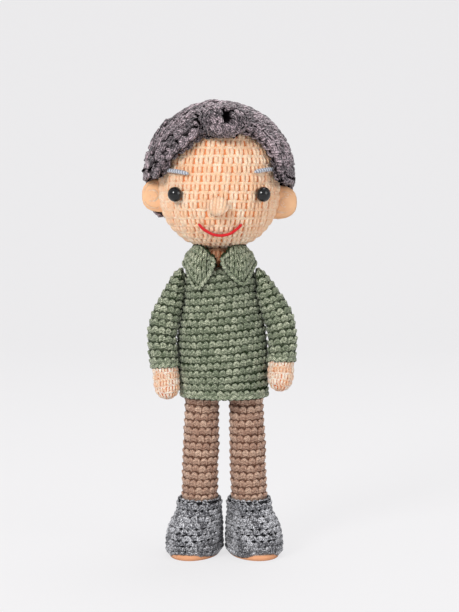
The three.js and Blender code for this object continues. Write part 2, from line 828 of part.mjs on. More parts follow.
function footPlate(side, shrink, thickness) {
  const outline = new THREE.Shape();
  const half = footHalf - shrink;
  const out = side * footOut;
  outline.absellipse(out, -footForward, half, heelReach + footForward - shrink, 0, Math.PI);
  outline.absellipse(out, -footForward, half, toeReach - footForward - shrink, Math.PI, 2 * Math.PI);
  return new THREE.ExtrudeGeometry(outline, { depth: thickness, curveSegments: 10, bevelEnabled: false });
}

function addFoot(side, name) {
  const foot = new THREE.Group();
  foot.position.set(lean + side * ankleSpread, 0, 0);
  foot.rotation.z = rad(side * toeOut);
  doll.add(foot);
  const upperFloor = soleThickness + touch;
  const rise = slipperTop - upperFloor;
  // Each row: share of the rise, then how much narrower the shoe is, at its sides, toe and heel
  const rows = [
    [0, 1.7, 2.6, 1.2],
    [0.1, 0.5, 0.8, 0.3],
    [0.26, 0, 0, 0],
    [0.45, 0.4, 1.3, 0.1],
    [0.6, 1.3, 4.9, 0.8],
    [0.76, 2.3, 9, 2],
    [0.9, footHalf - slipperMouth, toeReach - slipperMouth - 0.9, heelReach - slipperMouth - 0.3],
    [1, footHalf - slipperMouth, toeReach - slipperMouth - 0.4, heelReach - slipperMouth],
  ];
  const rings = (grow, used) => {
    return used.map(([share, sides, toe, heel]) => {
      const z = upperFloor + share * rise;
      const away = 1 - THREE.MathUtils.smoothstep(share, 0.3, 0.85);
      const half = footHalf - sides + grow;
      return footRing(
        side * footOut * away,
        footForward * away,
        z,
        half,
        toeReach - toe + grow,
        heelReach - heel + grow,
      );
    });
  };
  const floorRow = [(cover + touch) / rise, 0.6, 1, 0.5];
  const inside = rings(-cover - 0.2, [...rows].slice(2).reverse().concat([floorRow]));
  add("slipper_" + name, loft([...rings(0, rows), ...inside]), slipperYarn, foot);
  add("slipper_sole_" + name, solid(footPlate(side, 1.6, soleThickness)), soleYarn, foot);

  const insoleZ = upperFloor + cover + 2 * touch;
  const board = footPlate(side, cover + 2.6, insoleThickness).translate(0, 0, insoleZ);
  add("insole_" + name, solid(board), insoleBoard, foot);
  const fillZ = insoleZ + insoleThickness + touch;
  const fillTop = trouserEnd - touch;
  const share = (z) => (z - upperFloor) / rise;
  const fillRows = [
    [share(fillZ), 0.8, 1.2, 0.6],
    [share((fillZ + fillTop) / 2), 0.6, 1.4, 0.4],
    [share(fillTop), 1.6, 6, 1],
  ];
  add("foot_stuffing_" + name, loft(rings(-cover - 0.2 - touch, fillRows)), stuffing, foot);
}

addHead();
addFace();
addHair();
addEar(-1, "right", earDropRight);
addEar(1, "left", earDropLeft);
addNeck();
addTorso();
addCollar();
addArm(-1, "right", armLengthRight);
addArm(1, "left", armLengthLeft);
for (const [side, name] of [[-1, "right"], [1, "left"]]) {
  addLeg(side, name);
  addFoot(side, name);
}

export default doll;
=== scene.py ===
# %% [markdown]
# # A crochet doll
#
# The doll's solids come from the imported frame. Every crocheted solid is dressed here in its own cloth of stitches,
# and the eyes, the nose, the brows and the mouth are made as they were sewn. Lengths are in millimetres where
# nothing else is said, and MM turns them into metres.

import math

import bmesh
import bpy
import numpy as np
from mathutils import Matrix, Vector
from mathutils.bvhtree import BVHTree


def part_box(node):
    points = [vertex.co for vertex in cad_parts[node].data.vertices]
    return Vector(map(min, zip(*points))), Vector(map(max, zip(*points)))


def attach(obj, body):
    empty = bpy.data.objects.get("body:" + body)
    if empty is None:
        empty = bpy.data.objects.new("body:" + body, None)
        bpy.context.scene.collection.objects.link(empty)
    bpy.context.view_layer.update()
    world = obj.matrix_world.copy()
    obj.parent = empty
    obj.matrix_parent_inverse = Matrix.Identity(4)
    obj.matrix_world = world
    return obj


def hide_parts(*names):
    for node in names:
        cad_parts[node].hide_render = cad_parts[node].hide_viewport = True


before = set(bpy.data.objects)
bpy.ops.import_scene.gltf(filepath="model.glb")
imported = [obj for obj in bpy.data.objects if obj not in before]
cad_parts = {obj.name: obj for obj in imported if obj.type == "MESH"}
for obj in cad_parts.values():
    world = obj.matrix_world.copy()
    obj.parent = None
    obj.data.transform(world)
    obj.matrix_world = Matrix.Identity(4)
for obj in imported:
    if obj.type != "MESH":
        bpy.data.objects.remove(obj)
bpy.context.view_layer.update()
MM = 0.001
ACROSS, FRONT, UP = Vector((1, 0, 0)), Vector((0, -1, 0)), Vector((0, 0, 1))
SIDES = {"right": -1, "left": 1}

# %% [markdown]
# The camera stands in front of the doll, at the height of its nose, and looks a little down. Its lens is long,
# so the doll is drawn with little perspective. Its place and its distance are in metres.

# %% Camera
EYE_HEIGHT = 0.150
DISTANCE = 0.650
ASIDE = 0.0042
PITCH = math.radians(4)
FOCAL = 91

camera = bpy.data.objects.new("camera", bpy.data.cameras.new("camera"))
camera.data.sensor_fit = "VERTICAL"
camera.data.sensor_height = 36
camera.data.lens = FOCAL
camera.data.clip_start = 0.01
camera.location = (ASIDE, -DISTANCE, EYE_HEIGHT)
camera.rotation_euler = (math.pi / 2 - PITCH, 0, 0)
bpy.context.collection.objects.link(camera)
bpy.context.scene.camera = camera
print("camera", tuple(round(c, 4) for c in camera.location))

# %% [markdown]
# The room is a pale floor that curves up into a backdrop. A large soft lamp hangs on the left, in front of the
# doll, a weaker one fills the right, and a small one behind lifts the doll off the backdrop.


# %% Node helpers
def feed(tree, made, feeds):
    """Sets a node's inputs, by name or number: a socket is linked, and a plain value is written in."""
    for key, value in feeds.items():
        if isinstance(value, bpy.types.NodeSocket):
            tree.links.new(value, made.inputs[key])
        elif value is not None:
            made.inputs[key].default_value = value


def node(tree, kind, feeds=None, **values):
    made = tree.nodes.new(kind)
    for key, value in values.items():
        setattr(made, key, value)
    feed(tree, made, feeds or {})
    return made


def math_node(tree, operation, a, b=None, c=None):
    return node(tree, "ShaderNodeMath", {0: a, 1: b, 2: c}, operation=operation).outputs[0]


def mixed(tree, factor, a, b, kind="RGBA", **values):
    """The first colour or place where the factor is 0, the second where it is 1."""
    first, out = (6, 2) if kind == "RGBA" else (4, 1)
    made = node(tree, "ShaderNodeMix", {0: factor, first: a, first + 1: b}, data_type=kind, **values)
    return made.outputs[out]


def noise(tree, scale, detail=2.0):
    feeds = {"Vector": node(tree, "ShaderNodeTexCoord").outputs["Object"], "Scale": scale, "Detail": detail}
    return node(tree, "ShaderNodeTexNoise", feeds).outputs["Fac"]


def bumped(tree, height, strength, distance):
    feeds = {"Height": height, "Strength": strength, "Distance": distance}
    return node(tree, "ShaderNodeBump", feeds).outputs[0]


def srgb(r, g, b):
    def linear(c):
        c /= 255
        return c / 12.92 if c <= 0.04045 else ((c + 0.055) / 1.055) ** 2.4

    return (linear(r), linear(g), linear(b), 1)


def bare_material(name):
    material = bpy.data.materials.new(name)
    material.use_nodes = True
    tree = material.node_tree
    return material, tree, tree.nodes["Principled BSDF"]


def placed(name, data):
    made = bpy.data.objects.new(name, data)
    bpy.context.collection.objects.link(made)
    return made


# %% Room
PALE = srgb(244, 243, 244)
PAPER = srgb(214, 213, 214)
PAPER_GLOW = 0.8
ROOM_HALF, ROOM_NEAR, ROOM_DEPTH, ROOM_RISE = 3.0, -2.2, 1.6, 2.4
CORNER, CORNER_STEPS = 0.7, 12
LAMPS = {
    "key": ((-0.62, -0.95, 0.70), (0, 0, 0.10), 0.42, 10.2),
    "fill": ((0.85, -0.6, 0.45), (0, 0, 0.10), 0.7, 3.0),
    "top": ((0.1, 0.25, 1.1), (0, 0, 0.12), 0.5, 5.0),
}
SKY, SKY_STRENGTH = (0.95, 0.96, 1.0, 1), 0.62


def room():
    """A floor that curves up into a backdrop. What the camera sees of it glows, so that it stays even."""
    profile = [(ROOM_NEAR, 0)]
    for i in range(CORNER_STEPS + 1):
        turn = math.pi / 2 * i / CORNER_STEPS
        profile.append((ROOM_DEPTH - CORNER + CORNER * math.sin(turn), CORNER - CORNER * math.cos(turn)))
    profile.append((ROOM_DEPTH, ROOM_RISE))
    mesh = bpy.data.meshes.new("room")
    points = [(side * ROOM_HALF, y, z) for y, z in profile for side in (-1, 1)]
    faces = [(2 * i, 2 * i + 1, 2 * i + 3, 2 * i + 2) for i in range(len(profile) - 1)]
    mesh.from_pydata(points, [], faces)
    mesh.shade_smooth()
    floor = placed("room", mesh)

    material, tree, shader = bare_material("room paper")
    normal = bumped(tree, noise(tree, 900), 0.02, 0.0004)
    feed(tree, shader, {"Base Color": PAPER, "Roughness": 0.9, "Specular IOR Level": 0.1, "Normal": normal})
    glow = node(tree, "ShaderNodeEmission", {"Color": PALE})
    seen = node(tree, "ShaderNodeLightPath").outputs
    share = math_node(tree, "MAXIMUM", seen["Is Camera Ray"], seen["Is Glossy Ray"])
    share = math_node(tree, "MULTIPLY", share, PAPER_GLOW)
    both = node(tree, "ShaderNodeMixShader", {0: share, 1: shader.outputs[0], 2: glow.outputs[0]})
    feed(tree, tree.nodes["Material Output"], {"Surface": both.outputs[0]})
    mesh.materials.append(material)


def lamp(name, place, target, size, power):
    data = bpy.data.lights.new(name, "AREA")
    data.shape = "DISK"
    data.size = size
    data.energy = power
    made = placed(name, data)
    made.location = place
    made.rotation_euler = (Vector(target) - Vector(place)).to_track_quat("-Z", "Y").to_euler()


room()
for name, values in LAMPS.items():
    lamp(name, *values)
world = bpy.data.worlds.new("world")
world.use_nodes = True
background = world.node_tree.nodes["Background"]
feed(world.node_tree, background, {"Color": SKY, "Strength": SKY_STRENGTH})
bpy.context.scene.world = world
bpy.context.scene.view_settings.view_transform = "Standard"
print("room and lamps in place")

# %% [markdown]
# One yarn group serves all the yarns. It twists the plies along each thread by the thread's own UV, paints shade
# into the grooves between them, and paints shade where a stitch dives into the cloth. The cloth's attributes
# carry that: depth is 0 at the back of the cloth and 1 on top of a stitch, and tone differs from stitch to stitch.
# Below the depth Sunk the yarn is painted all in shade. Above Proud it shows its own colour and lighter flecks,
# which differ at random but are painted on the crests only, so that they are partly a painted highlight.


# %% Yarn materials
YARN_VALUES = {
    "Plies": 5.0, "Turns": 1.1, "Groove": 0.35, "Spread": 0.5, "Fleck": 0.2, "Sunk": 0.12, "Proud": 0.62
}
YARN_GLOSS = 0.35
PATCHES = 0.35
FIBRE_RELIEF = 0.35


def yarn_group():
    tree = bpy.data.node_groups.new("Yarn", "ShaderNodeTree")
    face = tree.interface
    for name in ("Light", "Base", "Deep"):
        face.new_socket(name, in_out="INPUT", socket_type="NodeSocketColor")
    for name, value in YARN_VALUES.items():
        face.new_socket(name, in_out="INPUT", socket_type="NodeSocketFloat").default_value = value
    for name, kind in (("Color", "Color"), ("Normal", "Vector"), ("Raised", "Float")):
        face.new_socket(name, in_out="OUTPUT", socket_type="NodeSocket" + kind)
    given = node(tree, "NodeGroupInput").outputs

    def calc(*values):
        return math_node(tree, *values)

    uv = node(tree, "ShaderNodeUVMap", uv_map="thread").outputs[0]
    split = node(tree, "ShaderNodeSeparateXYZ", {0: uv}).outputs
    phase = calc("ADD", calc("MULTIPLY", split[0], given["Turns"]), split[1])
    wave = calc("SINE", calc("MULTIPLY", calc("MULTIPLY", phase, given["Plies"]), math.tau))
    ply = calc("MULTIPLY_ADD", wave, 0.5, 0.5)
    fibre = noise(tree, 1400, 3)
    patch = noise(tree, 90)
    depth = node(tree, "ShaderNodeAttribute", attribute_name="depth").outputs["Fac"]
    tone = node(tree, "ShaderNodeAttribute", attribute_name="tone").outputs["Fac"]
    feeds = {"Value": depth, "From Min": given["Sunk"], "From Max": given["Proud"]}
    raised = node(tree, "ShaderNodeMapRange", feeds, interpolation_type="SMOOTHSTEP").outputs[0]

    shine = calc("MULTIPLY", tone, given["Spread"])
    shine = calc("MULTIPLY_ADD", calc("SUBTRACT", fibre, 0.5), given["Fleck"], shine)
    shine = calc("MULTIPLY_ADD", calc("SUBTRACT", patch, 0.5), PATCHES, shine)
    # Painted shade: the shade colour where the thread dives into the cloth, and the yarn's own colour on top.
    body = mixed(tree, raised, given["Deep"], given["Base"])
    # Painted highlight: lighter flecks, which differ at random from stitch to stitch but appear only on the raised
    # crests.
    lit = mixed(tree, calc("MULTIPLY", shine, raised), body, given["Light"])
    # Painted shade in the grooves between the plies.
    gap = calc("MULTIPLY", calc("POWER", calc("SUBTRACT", 1.0, ply), 2.0), given["Groove"])
    colour = mixed(tree, gap, lit, given["Deep"])
    normal = bumped(tree, calc("MULTIPLY_ADD", fibre, FIBRE_RELIEF, ply), 0.75, 0.00022)
    node(tree, "NodeGroupOutput", {"Color": colour, "Normal": normal, "Raised": raised})
    return tree


YARN = yarn_group()


# A yarn has three colours: its flecks and painted highlight on the crests, its own colour, and the painted shade of
# its gaps and ply grooves.
def yarn(name, light, base, deep, rough=0.72, sheen=0.25, scatter=0.0, **values):
    material, tree, shader = bare_material(name)
    feeds = {"Light": srgb(*light), "Base": srgb(*base), "Deep": srgb(*deep), **values}
    made = node(tree, "ShaderNodeGroup", feeds, node_tree=YARN).outputs
    looks = {"Base Color": made["Color"], "Normal": made["Normal"], "Roughness": rough, "Sheen Roughness": 0.5}
    # Painted shade: sheen and reflection grow with the raised mask, so the gaps and the backing have none, as if no
    # light reached them.
    looks["Sheen Weight"] = math_node(tree, "MULTIPLY", made["Raised"], sheen)
    looks["Specular IOR Level"] = math_node(tree, "MULTIPLY", made["Raised"], YARN_GLOSS)
    if scatter:
        looks["Subsurface Weight"] = scatter
        looks["Subsurface Radius"] = (1.0, 0.45, 0.22)
        looks["Subsurface Scale"] = 0.0012
    feed(tree, shader, looks)
    return material


# The skin yarns' shade colours are a warm orange. It is painted shade that also paints the glow of light passing
# through the yarn into its gaps.
SKIN = yarn(
    "skin yarn", (255, 244, 220), (244, 197, 156), (222, 132, 80), scatter=0.1, Groove=0.25, Spread=0.5, Fleck=2.2
)
PALM = yarn(
    "hand yarn", (255, 250, 234), (240, 194, 156), (204, 108, 58), scatter=0.1, Groove=0.4, Spread=0.8, Fleck=3.6
)
# The neck's yarn is a darker copy of the skin yarn: a painted shadow for the neck, which lies in the shade under the
# head.
SHADED_NECK_YARN = yarn("neck yarn in painted shade", (236, 190, 152), (216, 160, 120), (160, 92, 60), Groove=0.2, Spread=0.3, Fleck=1.0)
EAR = yarn(
    "ear yarn", (255, 234, 206), (245, 206, 174), (236, 184, 142), scatter=0.1, Groove=0.04, Spread=0.2, Fleck=0.3
)
SOLE = yarn("sole yarn", (250, 220, 192), (242, 196, 162), (226, 164, 124), Groove=0.1, Spread=0.3)
GREEN = yarn(
    "sweater yarn", (222, 226, 196), (130, 141, 112), (44, 54, 36),
    Groove=0.85, Spread=0.6, Fleck=3.6, Sunk=0.3, Proud=0.86,
)
BROWN = yarn(
    "trouser yarn", (236, 202, 176), (184, 144, 121), (92, 60, 46),
    Groove=0.7, Spread=0.7, Fleck=3.0, Sunk=0.32, Proud=0.86,
)
GREY = yarn(
    "slipper yarn", (248, 248, 252), (80, 80, 85), (12, 12, 14), rough=0.45, Groove=0.9, Spread=0.7, Fleck=4.0
)
HAIR = yarn(
    "hair yarn", (206, 184, 190), (48, 38, 43), (12, 9, 11), rough=0.55,
    Groove=0.85, Spread=0.74, Fleck=3.4, Plies=6.0, Turns=0.5,
)
BROW = yarn(
    "brow yarn", (240, 242, 246), (150, 156, 168), (84, 90, 104), Groove=0.9, Spread=0.9, Plies=1.0, Turns=1.0
)
MOUTH = yarn("mouth thread", (226, 44, 50), (212, 16, 28), (150, 8, 20), rough=0.5, sheen=0.04, Groove=0.1)
CREAM = yarn("body yarn", (245, 240, 230), (232, 226, 214), (200, 190, 175))
FELT = yarn("neck felt", (230, 224, 214), (216, 208, 196), (180, 170, 158))
print("yarns", len([m for m in bpy.data.materials if "yarn" in m.name]))


# %% Other materials
def grained(name, dark, light, rough, grain, bump, metal=0.0):
    """A material that varies between two colours. The grain is (scale, detail), the bump (strength, distance)."""
    material, tree, shader = bare_material(name)
    fine = noise(tree, *grain)
    ramp = node(tree, "ShaderNodeValToRGB", {"Fac": fine})
    for element, colour in zip(ramp.color_ramp.elements, (dark, light)):
        element.color = colour
    normal = bumped(tree, fine, *bump)
    feeds = {"Base Color": ramp.outputs["Color"], "Normal": normal, "Roughness": rough, "Metallic": metal}
    feed(tree, shader, feeds)
    return material


def moulded(name, colour, rough, metal=0.0):
    light = srgb(*colour)
    dark = tuple(c * 0.9 for c in light[:3]) + (1,)
    return grained(name, dark, light, rough, (300, 2), (0.1, 0.0001), metal)


STUFFING = grained("stuffing", srgb(214, 214, 208), srgb(250, 250, 246), 0.95, (400, 6), (1.0, 0.0006))
BEAD = moulded("eye bead", (9, 10, 12), 0.1)
WASHER = moulded("washer", (222, 224, 220), 0.4)
BOARD = moulded("insole board", (201, 189, 166), 0.7)
WIRE = moulded("wire", (160, 162, 166), 0.35, metal=1.0)
print("materials", len(bpy.data.materials))

# %% [markdown]
# A cloth is laid over a solid in three steps. Rays from outside find the solid's surface, ring by ring. The rings
# are divided into rows of cells, one for each stitch. A geometry-node tree then puts one stitch into each cell and
# bends it to the cell's corners, over a thin backing that has the solid's own form.


# %% Surfaces
FAR = 60
AROUND = 96


def points_of(name):
    return [v.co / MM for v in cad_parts[name].data.vertices]


def tree_of(*names):
    points, faces = [], []
    for name in names:
        start = len(points)
        points += points_of(name)
        faces += [[start + i for i in p.vertices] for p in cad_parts[name].data.polygons]
    return BVHTree.FromPolygons(points, faces)


def corners(name):
    low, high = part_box(name)
    return Vector(low) / MM, Vector(high) / MM


def slice_centre(name, z, half):
    near = [v.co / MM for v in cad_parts[name].data.vertices if abs(v.co.z / MM - z) < half]
    return sum(near, Vector()) / len(near)


def directions(axis, tilt, front=FRONT):
    ahead = (front - axis * front.dot(axis)).normalized()
    side = axis.cross(ahead)
    for j in range(AROUND):
        turn = math.tau * j / AROUND
        level = ahead * math.cos(turn) + side * math.sin(turn)
        yield level * math.cos(tilt) + axis * math.sin(tilt)


def swept(centre, axis, first, last, spans):
    """Stations about one centre, from the first tilt to the last, in degrees."""
    return [(centre, axis, math.radians(first + (last - first) * i / spans)) for i in range(spans + 1)]


def heights(low, high, spans, margin=0.1):
    """Even heights from a margin above the low corner to the same below the high one."""
    return [low.z + margin + (high.z - low.z - 2 * margin) * i / spans for i in range(spans + 1)]


def sample(tree, stations, front=FRONT, smooth=10):
    """Rings of points where rays from outside meet the solid, a ring for each station (centre, axis, tilt)."""
    rings = []
    for centre, axis, tilt in stations:
        ring = []
        for way in directions(axis, tilt, front):
            hit = tree.ray_cast(centre + way * FAR, -way, FAR)[0]
            ring.append(hit if hit else (math.nan,) * 3)
        rings.append(ring)
    return soften(filled(np.array(rings)), smooth)


def filled(rings):
    """The rings with the places that no ray found taken from those above and below."""
    steps = np.arange(len(rings))
    for j in range(rings.shape[1]):
        found = ~np.isnan(rings[:, j, 0])
        for k in range(3):
            rings[:, j, k] = np.interp(steps, steps[found], rings[found, j, k])
    return rings


def soften(rings, smooth):
    for _ in range(smooth):
        rings = (np.roll(rings, 1, 1) + 2 * rings + np.roll(rings, -1, 1)) / 4
    return rings


def curled(rings, inward, up):
    """The rings with one more above the last, turned in over the edge."""
    centre = rings[-1].mean(axis=0)
    away = rings[-1] - centre
    reach = np.linalg.norm(away, axis=1, keepdims=True)
    turned = centre + away * (1 - inward / reach) + np.array(UP) * up
    return np.concatenate([rings, turned[None]])


def lengths_along(path):
    return np.concatenate([[0], np.cumsum(np.linalg.norm(np.diff(path, axis=0), axis=1))])


def evenly(path, count):
    """As many places at even distances on the path."""
    run = lengths_along(path)
    at = np.linspace(0, run[-1], count)
    return np.stack([np.interp(at, run, path[:, k]) for k in range(3)], axis=1)


# %% Cells
FEWEST = 5
HEM_CELL = (2.5, 2.2)


def cells(rings, width, height, rows=None, wave=0.0, drift=0.5, keep=None, closed=True):
    """Rows of stitch cells on the rings: corners a, b below and c, d above.

    Each row starts a share of a cell, the drift, further round. The rows rise by the wave on one side.
    """
    sides = rings.shape[1]
    steps = np.linalg.norm(np.diff(rings, axis=0), axis=2).mean(axis=1)
    run = np.concatenate([[0], np.cumsum(steps)])
    rows = rows or max(1, round(run[-1] / height))

    def at(turn, share):
        share = np.clip(share, 0, 1) * run[-1]
        i = np.clip(np.searchsorted(run, share, side="right") - 1, 0, len(run) - 2)
        f = ((share - run[i]) / (run[i + 1] - run[i]))[:, None]
        j = (turn % 1) * sides if closed else np.clip(turn, 0, 1) * (sides - 1)
        j0 = np.floor(j).astype(int)
        g = (j - j0)[:, None]
        j0, j1 = j0 % sides, (j0 + 1) % sides
        low = rings[i, j0] * (1 - g) + rings[i, j1] * g
        top = rings[i + 1, j0] * (1 - g) + rings[i + 1, j1] * g
        return low * (1 - f) + top * f

    made = []
    for row in range(rows):
        middle = at(np.arange(sides) / sides, np.full(sides, (row + 0.5) / rows))
        steps = np.linalg.norm(np.roll(middle, -1, 0) - middle, axis=1)
        around = (steps if closed else steps[:-1]).sum()
        count = max(FEWEST, round(around / width))
        turn = (np.arange(count) + ((drift * row) % 1 if closed else 0)) / count

        def lift(u, share):
            return share + wave / run[-1] * np.sin(math.tau * u) * min(1, row / 3, (rows - row) / 3)

        low, top = np.full(count, row / rows), np.full(count, (row + 1) / rows)
        quad = [at(u, lift(u, v)) for v in (low, top) for u in (turn, turn + 1 / count)]
        made.append(np.stack(quad, axis=1))
    made = np.concatenate(made)
    if keep:
        made = made[[bool(keep(Vector(c))) for c in made.mean(axis=1)]]
    return made


def ways_of(made):
    """Twice the way across each cell, and twice the way up it."""
    across = made[:, 1] - made[:, 0] + made[:, 3] - made[:, 2]
    up = made[:, 2] - made[:, 0] + made[:, 3] - made[:, 1]
    return across, up


def facing(made, inside):
    """Outward unit normals of the cells, away from the inside points."""
    normal = np.cross(*ways_of(made))
    normal /= np.linalg.norm(normal, axis=1, keepdims=True) + 1e-9
    away = made.mean(axis=1) - inside
    flip = np.sign(np.sum(normal * away, axis=1))
    return normal * flip[:, None]


def upright(made, x, y):
    """Inside points on an upright line, each at the height of its cell."""
    inside = made.mean(axis=1)
    inside[:, :2] = x, y
    return inside


def border(path, width, height, middle=(0, 0)):
    """Cells in a line along the path, on a round form about an upright line through the middle."""
    places = evenly(path, round(lengths_along(path)[-1] / width) + 1)
    here, there = places[:-1], places[1:]
    out = ((here + there) / 2 - (*middle, 0)) * (1, 1, 0)
    out /= np.linalg.norm(out, axis=1, keepdims=True)
    side = np.cross(out, there - here)
    side /= np.linalg.norm(side, axis=1, keepdims=True)
    half = side * height / 2
    return np.stack([here - half, there - half, here + half, there + half], axis=1), out


def ring_border(ring, up, middle=(0, 0)):
    """The hem's cells, along a closed ring that is moved up."""
    return border(np.concatenate([ring, ring[:1]]) + np.array(UP) * up, *HEM_CELL, middle)


# %% Tubes
def spline(places, spans):
    """A Catmull-Rom curve through the places, as spans + 1 points."""
    places = [2 * places[0] - places[1], *places, 2 * places[-1] - places[-2]]
    pieces = len(places) - 3
    fine = []
    for i in range(spans + 1):
        at = i / spans * pieces
        k = min(int(at), pieces - 1)
        f = at - k
        a, b, c, d = places[k : k + 4]
        bend = 2 * b + (c - a) * f + (2 * a - 5 * b + 4 * c - d) * f**2
        fine.append(0.5 * (bend + (3 * b - a - 3 * c + d) * f**3))
    return fine


def skinned(bm, rings, thread=None, turns=1.0):
    """Faces from ring to ring and over both ends. The thread is the UV layer that the plies follow."""
    spans, sides = len(rings) - 1, len(rings[0])
    for i in range(spans):
        for j in range(sides):
            k = (j + 1) % sides
            face = bm.faces.new((rings[i][j], rings[i][k], rings[i + 1][k], rings[i + 1][j]))
            face.smooth = True
            if thread:
                places = ((i, j), (i, j + 1), (i + 1, j + 1), (i + 1, j))
                for loop, (u, v) in zip(face.loops, places):
                    loop[thread].uv = (u / spans * turns, v / sides)
    bm.faces.new(reversed(rings[0]))
    bm.faces.new(rings[-1])


def finished(bm, name, material=None):
    bmesh.ops.recalc_face_normals(bm, faces=bm.faces)
    mesh = bpy.data.meshes.new(name)
    bm.to_mesh(mesh)
    bm.free()
    if material:
        mesh.materials.append(material)
    return placed(name, mesh)


# %% Stitches
def stitch(name, width, height, threads, radius, spans, sides=6):
    """Threads of a stitch as closed tubes. A route's places are shares of the cell, and millimetres out of it."""
    bm = bmesh.new()
    where = bm.verts.layers.float_vector.new("cell")
    deep = bm.verts.layers.float.new("depth")
    thread = bm.loops.layers.uv.new("thread")
    size = (width + height) / 2
    top = max(p[2] for route in threads for p in route) + radius
    low = min(p[2] for route in threads for p in route)
    for route in threads:
        fine = spline([Vector((s * width, t * height, h)) for s, t, h in route], spans)
        rings = []
        for i, centre in enumerate(fine):
            ahead = (fine[min(i + 1, spans)] - fine[max(i - 1, 0)]).normalized()
            side = ahead.cross(UP).normalized()
            up = side.cross(ahead)
            swell = radius * (0.8 if i in (0, spans) else 1)
            ring = []
            for j in range(sides):
                turn = math.tau * j / sides
                p = centre + (side * math.cos(turn) + up * math.sin(turn)) * swell
                v = bm.verts.new(p * MM)
                v[where] = (p.x / width, p.y / height, p.z / size)
                # The depth sets how much painted shade the yarn gets at this place of the thread.
                v[deep] = (p.z - low) / (top - low)
                ring.append(v)
            rings.append(ring)
        skinned(bm, rings, thread)
    return finished(bm, name)


def mirrored(route):
    return [(1 - s, t, h) for s, t, h in route]


def lump(deep):
    """Two upright legs side by side, and the thread that crosses above them to the next stitch."""
    leg = [(0.34, 0.94, -deep * 0.9), (0.28, 0.68, -0.08), (0.29, 0.38, -0.02), (0.40, 0.06, -deep * 0.8)]
    bar = [(-0.05, 0.96, -deep * 0.8), (0.5, 1.02, -deep * 0.5), (1.05, 0.96, -deep * 0.8)]
    return [leg, mirrored(leg), bar]


# Two legs, wide apart above and together below.
LEG = [(0.08, 1.08, -0.6), (0.143, 0.76, 0.08), (0.2435, 0.34, 0.1), (0.35, -0.08, -0.6)]
VEE = [LEG, mirrored(LEG)]
# Three bent threads one below the other, each further in, so that a row is a ridge over a shaded line.
RIDGE = [
    [(-0.07, 0.42, -0.4), (0.16, 0.68, 0.16), (0.42, 0.9, 0.42), (0.74, 0.72, 0.14), (1.03, 0.36, -0.46)],
    [(-0.08, 0.16, -0.45), (0.22, 0.38, -0.12), (0.5, 0.48, -0.05), (0.78, 0.38, -0.12), (1.08, 0.16, -0.45)],
    [(-0.06, -0.06, -0.62), (0.25, 0.04, -0.52), (0.55, 0.1, -0.5), (0.8, 0.02, -0.54), (1.06, -0.08, -0.64)],
]
# A loose loop, with a knot and a tuck of thread below it.
LOOPS = [
    [(-0.03, 0.28, -1.3), (0.12, 0.82, 0.5), (0.52, 1.0, 0.9), (0.93, 0.68, 0.5), (0.9, 0.18, -1.3)],
    [(0.22, -0.06, -1.1), (0.42, 0.36, 0.8), (0.70, 0.55, 0.7), (0.62, 1.0, -1.1)],
    [(0.0, -0.08, -1.3), (0.04, 0.34, 0.2), (0.26, 0.6, 0.5), (0.3, 1.0, -1.1)],
]
# Two strands that cross in the cell, as in a braid.
STRAND = [(-0.12, 0.10, -1.5), (0.25, 0.15, 0.2), (0.72, 0.35, 0.5), (1.10, 0.50, -1.3)]
STRANDS = [STRAND, [(s, 1 - t, h) for s, t, h in STRAND]]
# One slanting thread, which makes a twisted cord where the cells are in a line.
CORD = [[(-0.15, 0.20, -0.5), (0.3, 0.38, 0.2), (0.7, 0.62, 0.2), (1.15, 0.80, -0.5)]]

# Each kind of stitch: its threads and their radius, its cell, and how far it is sunk into the cloth.
KINDS = {
    "face": (lump(0.7), 0.90, (4.1, 3.6), 0.35),
    "hand": (lump(0.55), 0.66, (2.9, 2.7), 0.35),
    "ear": (lump(0.2), 0.5, (2.4, 2.2), 0.4),
    "knit": (RIDGE, 0.74, (2.95, 3.1), 0.15),
    "leg": (RIDGE, 0.82, (3.0, 3.15), 0.25),
    "shoe": (RIDGE, 0.72, (2.8, 2.7), 0.45),
    "collar": (VEE, 0.55, (2.2, 2.3), 0.25),
    "braid": (STRANDS, 1.15, (3.6, 4.9), 1.25),
    "curl": (LOOPS, 1.08, (4.9, 4.9), 1.35),
    "quiff": (LOOPS, 0.98, (4.3, 4.4), 1.1),
    "edge": (CORD, 0.72, (1.9, 1.9), 0.1),
}
CELL = {kind: cell for kind, (_, _, cell, _) in KINDS.items()}
SINK = {kind: sink for kind, (*_, sink) in KINDS.items()}
STITCHES = {}
for kind, (threads, radius, cell, _) in KINDS.items():
    STITCHES[kind] = stitch("stitch_" + kind, *cell, threads, radius, spans=7 if threads is RIDGE else 6)
print("stitch faces", {kind: len(made.data.polygons) for kind, made in STITCHES.items()})


# %% Stitch cloth tree
CLOTH_SOCKETS = {
    "Cells": "Geometry",
    "Stitch": "Object",
    "Backing": "Object",
    "Wander": "Float",
    "Seed": "Int",
    "Ground": "Float",
    "Yarn": "Material",
}


